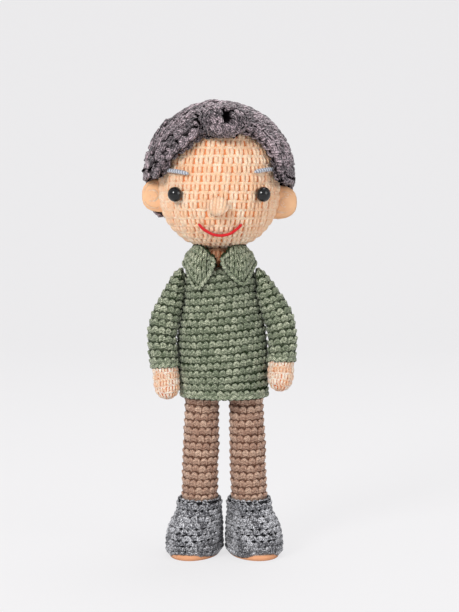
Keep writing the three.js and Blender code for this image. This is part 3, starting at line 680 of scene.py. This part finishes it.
def stitch_tree():
    tree = bpy.data.node_groups.new("Stitch cloth", "GeometryNodeTree")
    face = tree.interface
    names = {}
    for name, kind in CLOTH_SOCKETS.items():
        names[name] = face.new_socket(name, in_out="INPUT", socket_type="NodeSocket" + kind).identifier
    face.new_socket("Cloth", in_out="OUTPUT", socket_type="NodeSocketGeometry")
    given = node(tree, "NodeGroupInput").outputs

    def named(name, kind="FLOAT_VECTOR"):
        made = node(tree, "GeometryNodeInputNamedAttribute", {"Name": name}, data_type=kind)
        return made.outputs["Attribute"]

    def geometry(kind, feeds, **values):
        return node(tree, "GeometryNode" + kind, feeds, **values).outputs[0]

    def stored(shape, name, value):
        feeds = {"Geometry": shape, "Name": name, "Value": value}
        return geometry("StoreNamedAttribute", feeds, data_type="FLOAT", domain="POINT")

    def shape_of(name):
        return node(tree, "GeometryNodeObjectInfo", {"Object": given[name]}).outputs["Geometry"]

    which = named("stitch", "INT")

    def chance(offset):
        seed = math_node(tree, "ADD", given["Seed"], offset)
        feeds = {2: -1, 3: 1, "ID": which, "Seed": seed}
        return node(tree, "FunctionNodeRandomValue", feeds, data_type="FLOAT").outputs[1]

    def strayed(offset, value):
        return math_node(tree, "MULTIPLY_ADD", chance(offset), given["Wander"], value)

    def vector_math(operation, feeds):
        return node(tree, "ShaderNodeVectorMath", feeds, operation=operation).outputs[0]

    def between(factor, a, b):
        return mixed(tree, factor, a, b, "VECTOR", clamp_factor=False)

    dots = geometry("MeshToPoints", {"Mesh": given["Cells"]}, mode="FACES")
    laid = geometry("InstanceOnPoints", {"Points": dots, "Instance": shape_of("Stitch")})
    real = geometry("RealizeInstances", {0: laid})
    split = node(tree, "ShaderNodeSeparateXYZ", {0: named("cell")}).outputs
    across, up = strayed(1, split[0]), strayed(2, split[1])
    low = between(across, named("corner_a"), named("corner_b"))
    top = between(across, named("corner_c"), named("corner_d"))
    out_by = math_node(tree, "MULTIPLY", strayed(3, split[2]), named("size", "FLOAT"))
    proud = vector_math("SCALE", {0: named("outward"), "Scale": out_by})
    place = vector_math("ADD", {0: between(up, low, top), 1: proud})
    moved = geometry("SetPosition", {"Geometry": real, "Position": place})
    toned = stored(moved, "tone", math_node(tree, "MULTIPLY_ADD", chance(4), 0.5, 0.5))
    # The backing's depth is the ground, which sets its painted shade.
    ground = math_node(tree, "MAXIMUM", named("depth", "FLOAT"), given["Ground"])
    both = node(tree, "GeometryNodeJoinGeometry")
    for part in (stored(shape_of("Backing"), "depth", ground), toned):
        feed(tree, both, {0: part})
    smooth = geometry("SetShadeSmooth", {"Geometry": both.outputs[0]})
    paint = geometry("SetMaterial", {"Geometry": smooth, "Material": given["Yarn"]})
    node(tree, "NodeGroupOutput", {0: paint})
    return tree, names


CLOTH, CLOTH_INPUTS = stitch_tree()


# %% Laying a cloth
def backing(name, inset):
    """The solid's own form, moved in by the inset."""
    bm = bmesh.new()
    bm.from_mesh(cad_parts[name].data)
    bmesh.ops.remove_doubles(bm, verts=bm.verts, dist=1e-6)
    bm.normal_update()
    shift = [v.normal * inset * MM for v in bm.verts]
    for v, away in zip(bm.verts, shift):
        v.co -= away
    mesh = bpy.data.meshes.new("backing")
    bm.to_mesh(mesh)
    bm.free()
    return placed("backing", mesh)


def lay(name, made, outward, kind, material, back, wander=0.03, seed=1, ground=0.0):
    """A plain mesh object: one stitch of a kind in each cell, and the backing, which it uses up.

    The ground sets the painted shade of the backing's yarn, from 0 for the full painted shade of a gap to 1 for a
    thread's crest.
    """
    count = len(made)
    made = made - outward[:, None, :] * SINK[kind]
    mesh = bpy.data.meshes.new(name + "_cells")
    order = made[:, [0, 1, 3, 2]].reshape(-1, 3) * MM
    mesh.from_pydata(order.tolist(), [], np.arange(4 * count).reshape(-1, 4).tolist())
    wide, tall = (np.linalg.norm(way, axis=1) / 2 for way in ways_of(made))
    fields = {"corner_" + corner: ("FLOAT_VECTOR", "vector", made[:, i] * MM) for i, corner in enumerate("abcd")}
    fields["outward"] = ("FLOAT_VECTOR", "vector", outward)
    fields["size"] = ("FLOAT", "value", (wide + tall) / 2 * MM)
    fields["stitch"] = ("INT", "value", np.arange(count))
    for label, (data_type, key, values) in fields.items():
        mesh.attributes.new(label, data_type, "FACE").data.foreach_set(key, values.ravel())
    base = placed(name + "_cells", mesh)
    modifier = base.modifiers.new("Stitch cloth", "NODES")
    modifier.node_group = CLOTH
    inputs = {"Stitch": STITCHES[kind], "Backing": back, "Yarn": material}
    inputs.update(Wander=wander, Seed=seed, Ground=ground)
    for key, value in inputs.items():
        modifier[CLOTH_INPUTS[key]] = value
    base.update_tag()
    bpy.context.view_layer.update()
    done = bpy.data.meshes.new_from_object(base.evaluated_get(bpy.context.evaluated_depsgraph_get()))
    base.modifiers.clear()
    for label in (*fields, "cell"):
        if label in done.attributes:
            done.attributes.remove(done.attributes[label])
    done.name = name
    piece = placed(name, done)
    for used in (base, back):
        bpy.data.objects.remove(used)
    print(name, "stitches", count, "faces", len(done.polygons))
    return piece


def settle(piece, body, slot, *replaced, fill=None):
    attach(piece, body)
    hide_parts(*replaced)


def dress(name, solid, made, inside, kind, material, inset, body, slot, fill=None, **values):
    """One cloth over one solid, whose own form is moved in by the inset."""
    piece = lay(name, made, facing(made, inside), kind, material, backing(solid, inset), **values)
    settle(piece, body, slot, solid, fill=fill)


# %% [markdown]
# The head is worked in rounds from the chin up. Its stitches stop a little above the edge of the wig.

# %% Head
WIG_IN, WIG_OUT, WIG_MARGIN = 3, 30, 4
low, high = corners("head_cover")
head_centre = Vector((0, 0, (low.z + high.z) / 2 - 2))
head_tree = tree_of("head_cover")
hair_tree = tree_of("hair_cap")
rings = sample(head_tree, swept(head_centre, UP, -78, 70, 40))
rings -= np.array(head_centre)
reach = np.linalg.norm(rings, axis=2, keepdims=True)
rings = rings / reach * np.median(reach, axis=1, keepdims=True) + np.array(head_centre)


def covered(p):
    away = (p - head_centre).normalized()
    return all(hair_tree.ray_cast(p - way * WIG_IN, way, WIG_OUT)[0] for way in (away, FRONT))


def uncovered(p):
    side = (p - head_centre).cross(UP).normalized() * WIG_MARGIN
    above = UP.cross(side).normalized() * WIG_MARGIN
    return not all(covered(p + shift) for shift in (Vector(), side, -side, above, -above))


made = cells(rings, *CELL["face"], keep=uncovered, drift=0.12)
worn = ("face", SKIN, 0.75, "head", "skin_yarn")
dress("skin_head", "head_cover", made, np.array(head_centre), *worn, fill=0.95, wander=0.035, seed=3)

# %% [markdown]
# The wig is worked from a whorl behind the crown, in rounds that end parallel to the hairline. On the doll's own
# left the rounds read as braids; on the other side they are looser curls.

# %% Wig
RIM_SHARES = (0.93, 0.86)
WIG_LEAST = 27
EDGE_FIRST, EDGE_TRIES = 80, 140
ROUND_FIRST, ROUND_SPANS = math.radians(88), 36
BRAIDS_FROM, BRAIDS_SWAY, CURLS_TO = -3, 4, -1
low, high = corners("hair_cap")
hair_radius = (high.x - low.x) / 2
hair_centre = Vector((0, 0, high.z - hair_radius))
whorl = Vector((0, 1, 1)).normalized()


def tilted(level, tilt):
    return level * math.cos(tilt) + whorl * math.sin(tilt)


def hair_edge(level):
    """The tilt at which the wig ends, along one meridian from the whorl."""
    last = math.radians(EDGE_FIRST)
    for step in range(EDGE_TRIES):
        tilt = math.radians(EDGE_FIRST - step)
        way = tilted(level, tilt)
        if hair_tree.ray_cast(hair_centre + way * FAR, -way, FAR - WIG_LEAST)[0] is None:
            break
        last = tilt
    return last


levels = list(directions(whorl, 0))
edges = soften(np.array([[hair_edge(level) for level in levels]]), 3)[0]
grid = []
for i in range(ROUND_SPANS + 1):
    tilts = ROUND_FIRST + (edges - ROUND_FIRST) * i / ROUND_SPANS
    grid.append([hair_centre + tilted(level, tilt) * hair_radius for level, tilt in zip(levels, tilts)])
grid += [[hair_centre + (p - hair_centre) * share for p in grid[-1]] for share in RIM_SHARES]
rings = np.array(grid)
under_whorl = np.array(hair_centre + whorl * 8)
made = cells(rings, *CELL["braid"], drift=0.3)
middles = made.mean(axis=1)
made = made[middles[:, 0] >= BRAIDS_FROM + BRAIDS_SWAY * np.sin(middles[:, 2])]
out = facing(made, under_whorl)
braided = lay("wig_braids", made, out, "braid", HAIR, backing("hair_cap", 0.9), wander=0.05, seed=11)
made = cells(rings, *CELL["curl"], drift=0.4)
made = made[made.mean(axis=1)[:, 0] < CURLS_TO]
piece = lay("wig", made, facing(made, under_whorl), "curl", HAIR, braided, wander=0.13, seed=12)
settle(piece, "head", "hair_yarn", "hair_cap")

# %% Forelock
low, high = corners("forelock")
roll_centre = (low + high) / 2
HOLLOW = Vector((roll_centre.x + 1.9, low.y, roll_centre.z + 2.0))
HOLLOW_HALF, HOLLOW_DEEP = 2.8, 3.5
DRIFTS = 20
rings = sample(tree_of("forelock"), swept(roll_centre, ACROSS, -84, 84, 28))


def from_hollow(made):
    """How far each cell's middle lies from the hollow that the roll leaves open, which is twice as wide as tall."""
    middles = made.mean(axis=1)
    off = np.hypot((middles[:, 0] - HOLLOW.x) / 2, middles[:, 2] - HOLLOW.z)
    return np.where(middles[:, 1] < roll_centre.y, off, FAR)


tries = [cells(rings, *CELL["quiff"], drift=step / DRIFTS) for step in range(DRIFTS)]
made = min(tries, key=lambda cloth: np.sort(from_hollow(cloth))[1])
off = from_hollow(made)
made = made[off > np.sort(off)[1]]
made = made[made.mean(axis=1)[:, 1] < high.y - 0.5]
out = facing(made, np.array(roll_centre))
# The backing is dented in at the hollow. Like every backing it takes the yarn's painted shade, near black for the
# hair, with no sheen or reflection, so the hollow is painted dark.
back = backing("forelock", 0.8)
for v in back.data.vertices:
    place = v.co / MM
    if place.y < roll_centre.y:
        off = math.hypot(place.x - HOLLOW.x, place.z - HOLLOW.z) / HOLLOW_HALF
        v.co.y += HOLLOW_DEEP * MM * max(0, 1 - off**2)
piece = lay("quiff", made, out, "quiff", HAIR, back, wander=0.06, seed=13)
settle(piece, "head", "hair_yarn", "forelock")

# %% Ears
EAR_STRETCH = 1.2
for name, side in SIDES.items():
    solid = "ear_" + name
    low, high = corners(solid)
    centre = (low + high) / 2 + ACROSS * side
    rings = sample(tree_of(solid), swept(centre, FRONT, -84, 84, 20), front=-UP)
    made = cells(rings, *CELL["ear"])
    out = facing(made, np.array(centre))
    piece = lay("ear_skin_" + name, made, out, "ear", EAR, backing(solid, 0.1), wander=0.02, seed=14)
    edge = (high if side > 0 else low).x * MM
    for v in piece.data.vertices:
        v.co.x = edge + (v.co.x - edge) * EAR_STRETCH
    settle(piece, "head", "skin_yarn", solid)

# %% [markdown]
# The sweater's body is worked from the hem up, and its rounds climb a little to the doll's left in front. It is
# made fuller behind the arms and at the armholes, so that no light falls between a sleeve and the body.

# %% Sweater
HEM_DROP, HEM_UP = 0.6, 0.5
FLANK = {"by": 3.0, "y": 5.5, "depth": 5.0, "low": 98.0, "high": 120.5, "rise": 8}
ARMHOLE = {"by": 1.1, "y": -3.0, "depth": 7.0, "low": 110.0, "high": 121.0, "rise": 6}


def eased(share):
    share = np.clip(share, 0, 1)
    return share * share * (3 - 2 * share)


def fuller(rings, by, y, depth, low, high, rise):
    """The rounds made wider on both sides, about the depth y and between two heights."""
    near = eased(1 - np.abs(rings[:, :, 1] - y) / depth)
    level = eased((rings[:, :, 2] - low) / rise) * eased((high - rings[:, :, 2]) / 2)
    rings[:, :, 0] += np.sign(rings[:, :, 0]) * by * near * level
    return rings


bottom, top = (slice_centre("sweater", corner.z, 0.6) for corner in corners("sweater"))
stations = [(bottom + (top - bottom) * (0.004 + 0.985 * i / 44), UP, 0.0) for i in range(45)]
rings = fuller(fuller(sample(tree_of("sweater"), stations), **FLANK), **ARMHOLE)
rings = curled(np.concatenate([rings[:1] - np.array(UP) * HEM_DROP, rings]), 2.6, 0.2)
made = cells(rings, *CELL["knit"], wave=1.6, drift=0.15)
out = facing(made, upright(made, (bottom.x + top.x) / 2, 0))
plain = lay("sweater_rows", made, out, "knit", GREEN, backing("sweater", 0.4), wander=0.07, seed=21)
piece = lay("sweater_cloth", *ring_border(rings[0], HEM_UP), "edge", GREEN, plain, seed=26)
settle(piece, "torso", "sweater_yarn", "sweater", fill=0.9)

# %% Seat
low, high = corners("seat_cover")
seat_centre = Vector(((low.x + high.x) / 2, 0, high.z))
rings = sample(tree_of("seat_cover"), swept(seat_centre, UP, -80, -20, 16), smooth=2)
made = cells(rings, *CELL["leg"])
inside = np.array(seat_centre)
dress("seat_cloth", "seat_cover", made, inside, "leg", BROWN, 0.3, "torso", "trouser_yarn", seed=22)

# %% Neck
low, high = corners("neck_cover")
middle = (low + high) / 2
levels = heights(low, high, 8, margin=0.01 * (high.z - low.z))
rings = sample(tree_of("neck_cover"), [(Vector((*middle.xy, z)), UP, 0.0) for z in levels])
made = cells(rings, *CELL["face"], drift=0.12)
inside = upright(made, *middle.xy)
# The neck is dressed in the darker skin yarn, a painted shadow.
dress("neck_skin", "neck_cover", made, inside, "face", SHADED_NECK_YARN, 0.4, "neck", "skin_yarn", seed=23)

# %% Collar
collar_tree = tree_of("collar")
low, high = corners("collar")
OPENING_RIGHT = math.radians(9.5)
OPENING_LEFT = math.radians(5.5)
RIBS = 120
COLLAR_LIFT = 1.2
LEVELS, TRIES = 15, 89
COLLAR_RAY, COLLAR_REACH, FOLD_STEP = 30, 22, 0.9
COLLAR_UNDER, COLLAR_OVER, COLLAR_INNER = (1.3, 0), (1.6, 0.6), (0.5, 2.6)


def collar_column(turn):
    """Places on the collar's outside, from the flap's edge up to the fold, at one side of the neck."""
    flat = Vector((math.sin(turn), -math.cos(turn), 0))
    found = []
    for z in reversed(heights(low, high, TRIES, margin=0.05)):
        hit = collar_tree.ray_cast(flat * COLLAR_RAY + UP * z, -flat, COLLAR_REACH)[0]
        if hit is None:
            if found:
                break
            continue
        if found and hit.xy.length < found[-1].xy.length - FOLD_STEP:
            break
        found.append(hit)
    return evenly(np.array(found[::-1]), LEVELS)


def tucked(ring, flat, inward, down):
    ring = ring.copy()
    ring[:, :2] -= flat * inward
    ring[:, 2] -= down
    return ring


turns = [OPENING_LEFT + (math.tau - OPENING_LEFT - OPENING_RIGHT) * i / RIBS for i in range(RIBS + 1)]
rings = np.stack([collar_column(turn) for turn in turns], axis=1)
flat = rings[:, :, :2] / np.linalg.norm(rings[:, :, :2], axis=2, keepdims=True)
rings[:, :, 2] += COLLAR_LIFT * eased(-flat[:, :, 1] * 2) * np.linspace(-1, 1, LEVELS).clip(0)[:, None]
under = tucked(rings[0], flat[0], *COLLAR_UNDER)
over = tucked(rings[-1], flat[-1], *COLLAR_OVER)
inner = tucked(over, flat[-1], *COLLAR_INNER)
made = cells(np.stack([under, *rings, over, inner]), *CELL["collar"], closed=False)
out = facing(made, made.mean(axis=1) * (0.5, 0.5, 1))
plain = lay("collar_rows", made, out, "collar", GREEN, backing("collar", 0.3), wander=0.05, seed=24)
path = np.concatenate([rings[::-1, 0], rings[0, 1:-1], rings[:, -1]])
piece = lay("collar_cloth", *border(path, *CELL["edge"]), "edge", GREEN, plain, seed=25)
settle(piece, "torso", "sweater_yarn", "collar")

# %% [markdown]
# Each arm is one tube from the shoulder to the finger tips: a sleeve, then a hand.


# %% Arms
SHOULDER_SOFT, SHOULDER_UP, SHOULDER_IN = 4.5, 0.9, 0.7
ROUND_TOP, ROUND_TIP, CAP_TILT, CAP_SPANS = 2.4, 5.6, 86, 10
CUFF_UP = 0.3


def arm_line(name):
    """The middle line of an arm, from its top to its tip, as a function of the height."""
    co = np.array(points_of("sleeve_" + name) + points_of("hand_" + name))
    fits = [np.polyfit(co[:, 2], co[:, k], 3) for k in (0, 1)]
    return lambda z: Vector((np.polyval(fits[0], z), np.polyval(fits[1], z), z))


def halfway(tree, guess):
    """Halfway between the solid's sides at the guess's height, sideways and then front to back."""
    place = guess.copy()
    for way in (ACROSS, -FRONT):
        near = tree.ray_cast(place - way * FAR, way)[0]
        far = tree.ray_cast(place + way * FAR, -way)[0]
        if near and far:
            place += way * ((near + far) / 2 - place).dot(way)
    return place


for name, side in SIDES.items():
    sleeve, hand = "sleeve_" + name, "hand_" + name
    tree = tree_of(sleeve, hand)
    line = arm_line(name)
    top, wrist = corners(sleeve)[1].z, corners(hand)[1].z
    cuff = slice_centre(hand, wrist, 2.0).z + 0.3
    first, last = top - ROUND_TOP, corners(hand)[0].z + ROUND_TIP

    def station(z, tilt=0.0):
        ahead = (line(z - 1) - line(z + 1)).normalized()
        return halfway(tree, line(z)), ahead, tilt

    caps = [station(first, math.radians(CAP_TILT * (i / CAP_SPANS - 1))) for i in range(CAP_SPANS)]
    stations = caps + [station(first + (cuff - first) * i / 26) for i in range(27)]
    rings = sample(tree, stations, smooth=3)
    shoulder = eased((rings[:, :, 2] - (top - SHOULDER_SOFT)) / SHOULDER_SOFT)
    rings[:, :, 2] += SHOULDER_UP * shoulder
    rings[:, :, 0] -= side * SHOULDER_IN * shoulder
    made = cells(rings[::-1], *CELL["knit"], drift=0.15)
    out = facing(made, np.array([halfway(tree, line(min(p[2], first))) for p in made.mean(axis=1)]))
    back = backing(sleeve, 0.4)
    plain = lay("sleeve_rows_" + name, made, out, "knit", GREEN, back, wander=0.07, seed=31, ground=0.35)
    hem = ring_border(rings[-1], CUFF_UP, middle=tuple(rings[-1, :, :2].mean(axis=0)))
    piece = lay("sleeve_cloth_" + name, *hem, "edge", GREEN, plain, seed=33)
    settle(piece, "arm_" + name, "sweater_yarn", sleeve, fill=0.9)

    stations = [station(cuff + (last - cuff) * i / 14) for i in range(15)]
    stations += [station(last, math.radians(CAP_TILT * i / CAP_SPANS)) for i in range(1, CAP_SPANS + 1)]
    rings = sample(tree, stations, smooth=14)
    made = cells(rings[::-1], *CELL["hand"], drift=0.3)
    inside = np.array([line(max(p[2], last)) for p in made.mean(axis=1)])
    worn = ("hand", PALM, 0.55, "arm_" + name, "skin_yarn")
    dress("hand_skin_" + name, hand, made, inside, *worn, fill=0.9, seed=32)

# %% [markdown]
# The trouser legs and the slippers are worked upwards. The slipper's wall is let down and out at its lower edge,
# least at the toes, so that it meets the sole.

# %% Legs
for name in SIDES:
    solid = "trouser_leg_" + name
    low, high = corners(solid)
    bottom = slice_centre(solid, low.z + 1, 1.5)
    top = slice_centre(solid, high.z - 8, 4)
    axis = (top - bottom).normalized()
    stations = [(bottom + (top - bottom) * i / 40, axis, 0.0) for i in range(41)]
    rings = sample(tree_of(solid), stations, smooth=14)
    made = cells(rings, *CELL["leg"], drift=0.15)
    foot, hip = np.array(bottom), np.array(top)
    inside = made.mean(axis=1)
    share = (inside[:, 2:] - foot[2]) / (hip[2] - foot[2])
    inside[:, :2] = foot[:2] + (hip - foot)[:2] * share
    worn = ("leg", BROWN, 0.6, "leg_" + name, "trouser_yarn")
    dress("trouser_cloth_" + name, solid, made, inside, *worn, fill=0.9, wander=0.06, seed=41)

# %% Slippers
WALL_DROP, WALL_SOFT, WALL_FLARE = 1.9, 6.0, 1.0
TOE_AHEAD, TOE_EASE, TOE_OUT, TOE_HALF, TOE_LEAST = 11.0, 4.0, 3.0, 3.0, 0.5
LEAN_FROM, LEAN_OVER, WALL_SPANS = 0.15, 0.6, 32
SOLE_CELL = (2.8, 2.2)

for name, side in SIDES.items():
    solid = "slipper_" + name
    low, high = corners(solid)
    foot, ankle = (slice_centre(solid, corner.z, 0.6) for corner in (low, high))
    stations = []
    for i, z in enumerate(heights(low, high, WALL_SPANS)):
        centre = foot.lerp(ankle, min(1, max(0, (i / WALL_SPANS - LEAN_FROM) / LEAN_OVER)))
        stations.append((Vector((*centre.xy, z)), UP, 0.0))
    rings = sample(tree_of(solid), stations, smooth=6)
    behind = eased((rings[:, :, 1] - (foot.y - TOE_AHEAD)) / TOE_EASE)
    beside = eased((np.abs(rings[:, :, 0] - (foot.x + side * TOE_OUT)) - TOE_HALF) / TOE_HALF)
    let_down = np.maximum(np.maximum(behind, beside), TOE_LEAST)
    let_down = let_down * eased(1 - (rings[:, :, 2] - low.z) / WALL_SOFT)
    rings[:, :, 2] -= WALL_DROP * let_down
    away = rings[:, :, :2] - np.array(foot.xy)
    away /= np.linalg.norm(away, axis=2, keepdims=True)
    rings[:, :, :2] += away * (WALL_FLARE * let_down)[:, :, None]
    made = cells(curled(rings, 0.8, 0.1), *CELL["shoe"], rows=10)
    inside = upright(made, (foot.x + ankle.x) / 2, (foot.y + ankle.y) / 2)
    worn = ("shoe", GREY, 0.5, "leg_" + name, "slipper_yarn")
    dress("slipper_cloth_" + name, solid, made, inside, *worn, wander=0.06, seed=51, ground=0.2)

    solid = "slipper_sole_" + name
    low, high = corners(solid)
    middle = (low + high) / 2
    stations = [(Vector((*middle.xy, z)), UP, 0.0) for z in heights(low, high, 4)]
    rings = sample(tree_of(solid), stations, smooth=2)
    made = cells(rings, *SOLE_CELL, rows=1)
    worn = ("ear", SOLE, 0.05, "leg_" + name, "sole_yarn")
    dress("sole_cloth_" + name, solid, made, upright(made, *middle.xy), *worn, seed=52)

# %% [markdown]
# The features of the face are threads that lie on the stitches, and two glossy beads. Their places are given
# from the middle of the face sideways, and upwards from the height where the face is widest.


# %% Threads on the face
def on_front(tree, x, z, out):
    """The place in front on a solid, moved out from the head's centre."""
    hit = tree.ray_cast(Vector((x, -FAR, z)), -FRONT, 2 * FAR)[0]
    return hit and hit + (hit - head_centre).normalized() * out


def rope(name, routes, radius, material, spans=24, sides=10, taper=0.15, pitch=3.0):
    """Threads as closed tubes, thinner at both ends, in one mesh. The plies turn once in each pitch."""
    bm = bmesh.new()
    deep = bm.verts.layers.float.new("depth")
    toned = bm.verts.layers.float.new("tone")
    thread = bm.loops.layers.uv.new("thread")
    for number, route in enumerate(routes):
        fine = spline(route, spans)
        turns = sum((b - a).length for a, b in zip(fine, fine[1:])) / pitch
        rings = []
        for i, centre in enumerate(fine):
            ahead = (fine[min(i + 1, spans)] - fine[max(i - 1, 0)]).normalized()
            out = (centre - head_centre).normalized()
            side = ahead.cross(out).normalized()
            end = min(i, spans - i) / spans
            swell = radius * (1 if end > taper else 0.45 + 0.55 * math.sin(math.pi / 2 * end / taper))
            ring = []
            for j in range(sides):
                turn = math.tau * j / sides
                v = bm.verts.new((centre + (side * math.cos(turn) + out * math.sin(turn)) * swell) * MM)
                v[deep] = 1.0
                v[toned] = (0.5 + number * 0.37) % 1
                ring.append(v)
            rings.append(ring)
        skinned(bm, rings, thread, turns)
    piece = finished(bm, name, material)
    print(name, "threads", len(routes), "faces", len(piece.data.polygons))
    return piece


WIDEST = corners("head_cover")[0].z + 24.5
BROWS = {
    "right": [(-21.2, 7.7), (-16.8, 7.2), (-11.9, 6.2)],
    "left": [(13.7, 6.9), (18.2, 7.8), (22.2, 8.1)],
}
SMILE = [(-8.1, -13.3), (-6.0, -15.5), (-2.4, -17.5), (0.8, -17.9), (4.3, -17.2), (7.0, -15.3), (8.9, -13.4)]
for name, places in BROWS.items():
    route = [on_front(head_tree, x, WIDEST + rise, 1.25) for x, rise in places]
    piece = rope("brow_thread_" + name, [route], 0.85, BROW, pitch=1.3)
    settle(piece, "head", "brow_yarn", "brow_" + name)
route = [on_front(head_tree, x, WIDEST + rise, 1.0) for x, rise in SMILE]
piece = rope("mouth_thread", [route], 0.6, MOUTH, taper=0.04)
settle(piece, "head", "mouth_thread", "mouth")

# %% Nose
WRAPS, WRAP_SPANS = 7, 4
low, high = corners("nose")
nose_tree = tree_of("nose")
middle = (low + high) / 2


def wrap(share):
    """One thread down the nose. The share is -1 at the nose's one side and 1 at the other."""
    top_x, top_z = middle.x + share * 3.6, high.z - 0.4 - 1.6 * share**2
    end_x, end_z = middle.x - 0.9 + share * 2.3, low.z + 0.6 + 1.2 * share**2
    route = []
    for k in range(WRAP_SPANS + 1):
        f = k / WRAP_SPANS
        bow = share * 0.8 * math.sin(math.pi * f)
        x, z = top_x + (end_x - top_x) * f + bow, top_z + (end_z - top_z) * f
        out = 0.05 - 0.5 * (k in (0, WRAP_SPANS))
        route.append(on_front(nose_tree, x, z, out) or on_front(head_tree, x, z, 0.3))
    return route


wraps = [wrap(i / (WRAPS - 1) * 2 - 1) for i in range(WRAPS)]
piece = rope("nose_wrap", wraps, 0.78, SKIN, spans=14, sides=8)
settle(piece, "head", "skin_yarn", "nose")


# %% Eyes
BEAD_SIDES, DOME_SPANS = 48, 15


def bead_eye(name, solid):
    """A round bead on its post, in the place of the solid and along its axis."""
    co = np.array(points_of(solid))
    centre = co.mean(axis=0)
    axis = np.linalg.svd(co - centre)[2][0]
    if axis[1] > 0:
        axis = -axis
    along = (co - centre) @ axis
    radial = np.linalg.norm(co - centre - along[:, None] * axis, axis=1)
    wide = radial.max() * 1.02
    rear, rim = along.min(), along[radial > radial.max() - 0.2].mean() + 0.5
    front = rim + wide
    axis, centre = Vector(axis), Vector(centre)
    side = axis.cross(UP).normalized()
    up = side.cross(axis)
    profile = [(0.02, rear), (1.1, rear), (1.15, rim - 1.1), (wide * 0.8, rim - 0.9), (wide * 0.96, rim - 0.5)]
    for i in range(1, DOME_SPANS):
        turn = math.pi / 2 * i / DOME_SPANS
        profile.append((wide * math.cos(turn) ** 0.9, rim + (front - rim) * math.sin(turn)))
    profile.append((0.02, front))
    bm = bmesh.new()
    rings = []
    for r, a in profile:
        ring = []
        for j in range(BEAD_SIDES):
            turn = math.tau * j / BEAD_SIDES
            p = centre + axis * a + side * (r * math.cos(turn)) + up * (r * math.sin(turn))
            ring.append(bm.verts.new(p * MM))
        rings.append(ring)
    skinned(bm, rings)
    return finished(bm, name, BEAD)


for name in SIDES:
    piece = bead_eye("bead_" + name, "eye_" + name)
    settle(piece, "head", "eye_bead", "eye_" + name)
print("eyes set")

# %% [markdown]
# What stays hidden inside keeps its own solid and gets its material.

# %% Inner solids
INNER = {
    "torso_cover": CREAM,
    "neck_rod": FELT,
    "shoulder_thread": GREEN,
    "stuffing": STUFFING,
    "eye_washer": WASHER,
    "insole": BOARD,
    "leg_wire": WIRE,
}
for name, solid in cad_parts.items():
    for part, material in INNER.items():
        if part in name:
            solid.data.materials.clear()
            solid.data.materials.append(material)
for made in STITCHES.values():
    bpy.data.objects.remove(made)
print("inner solids dressed")
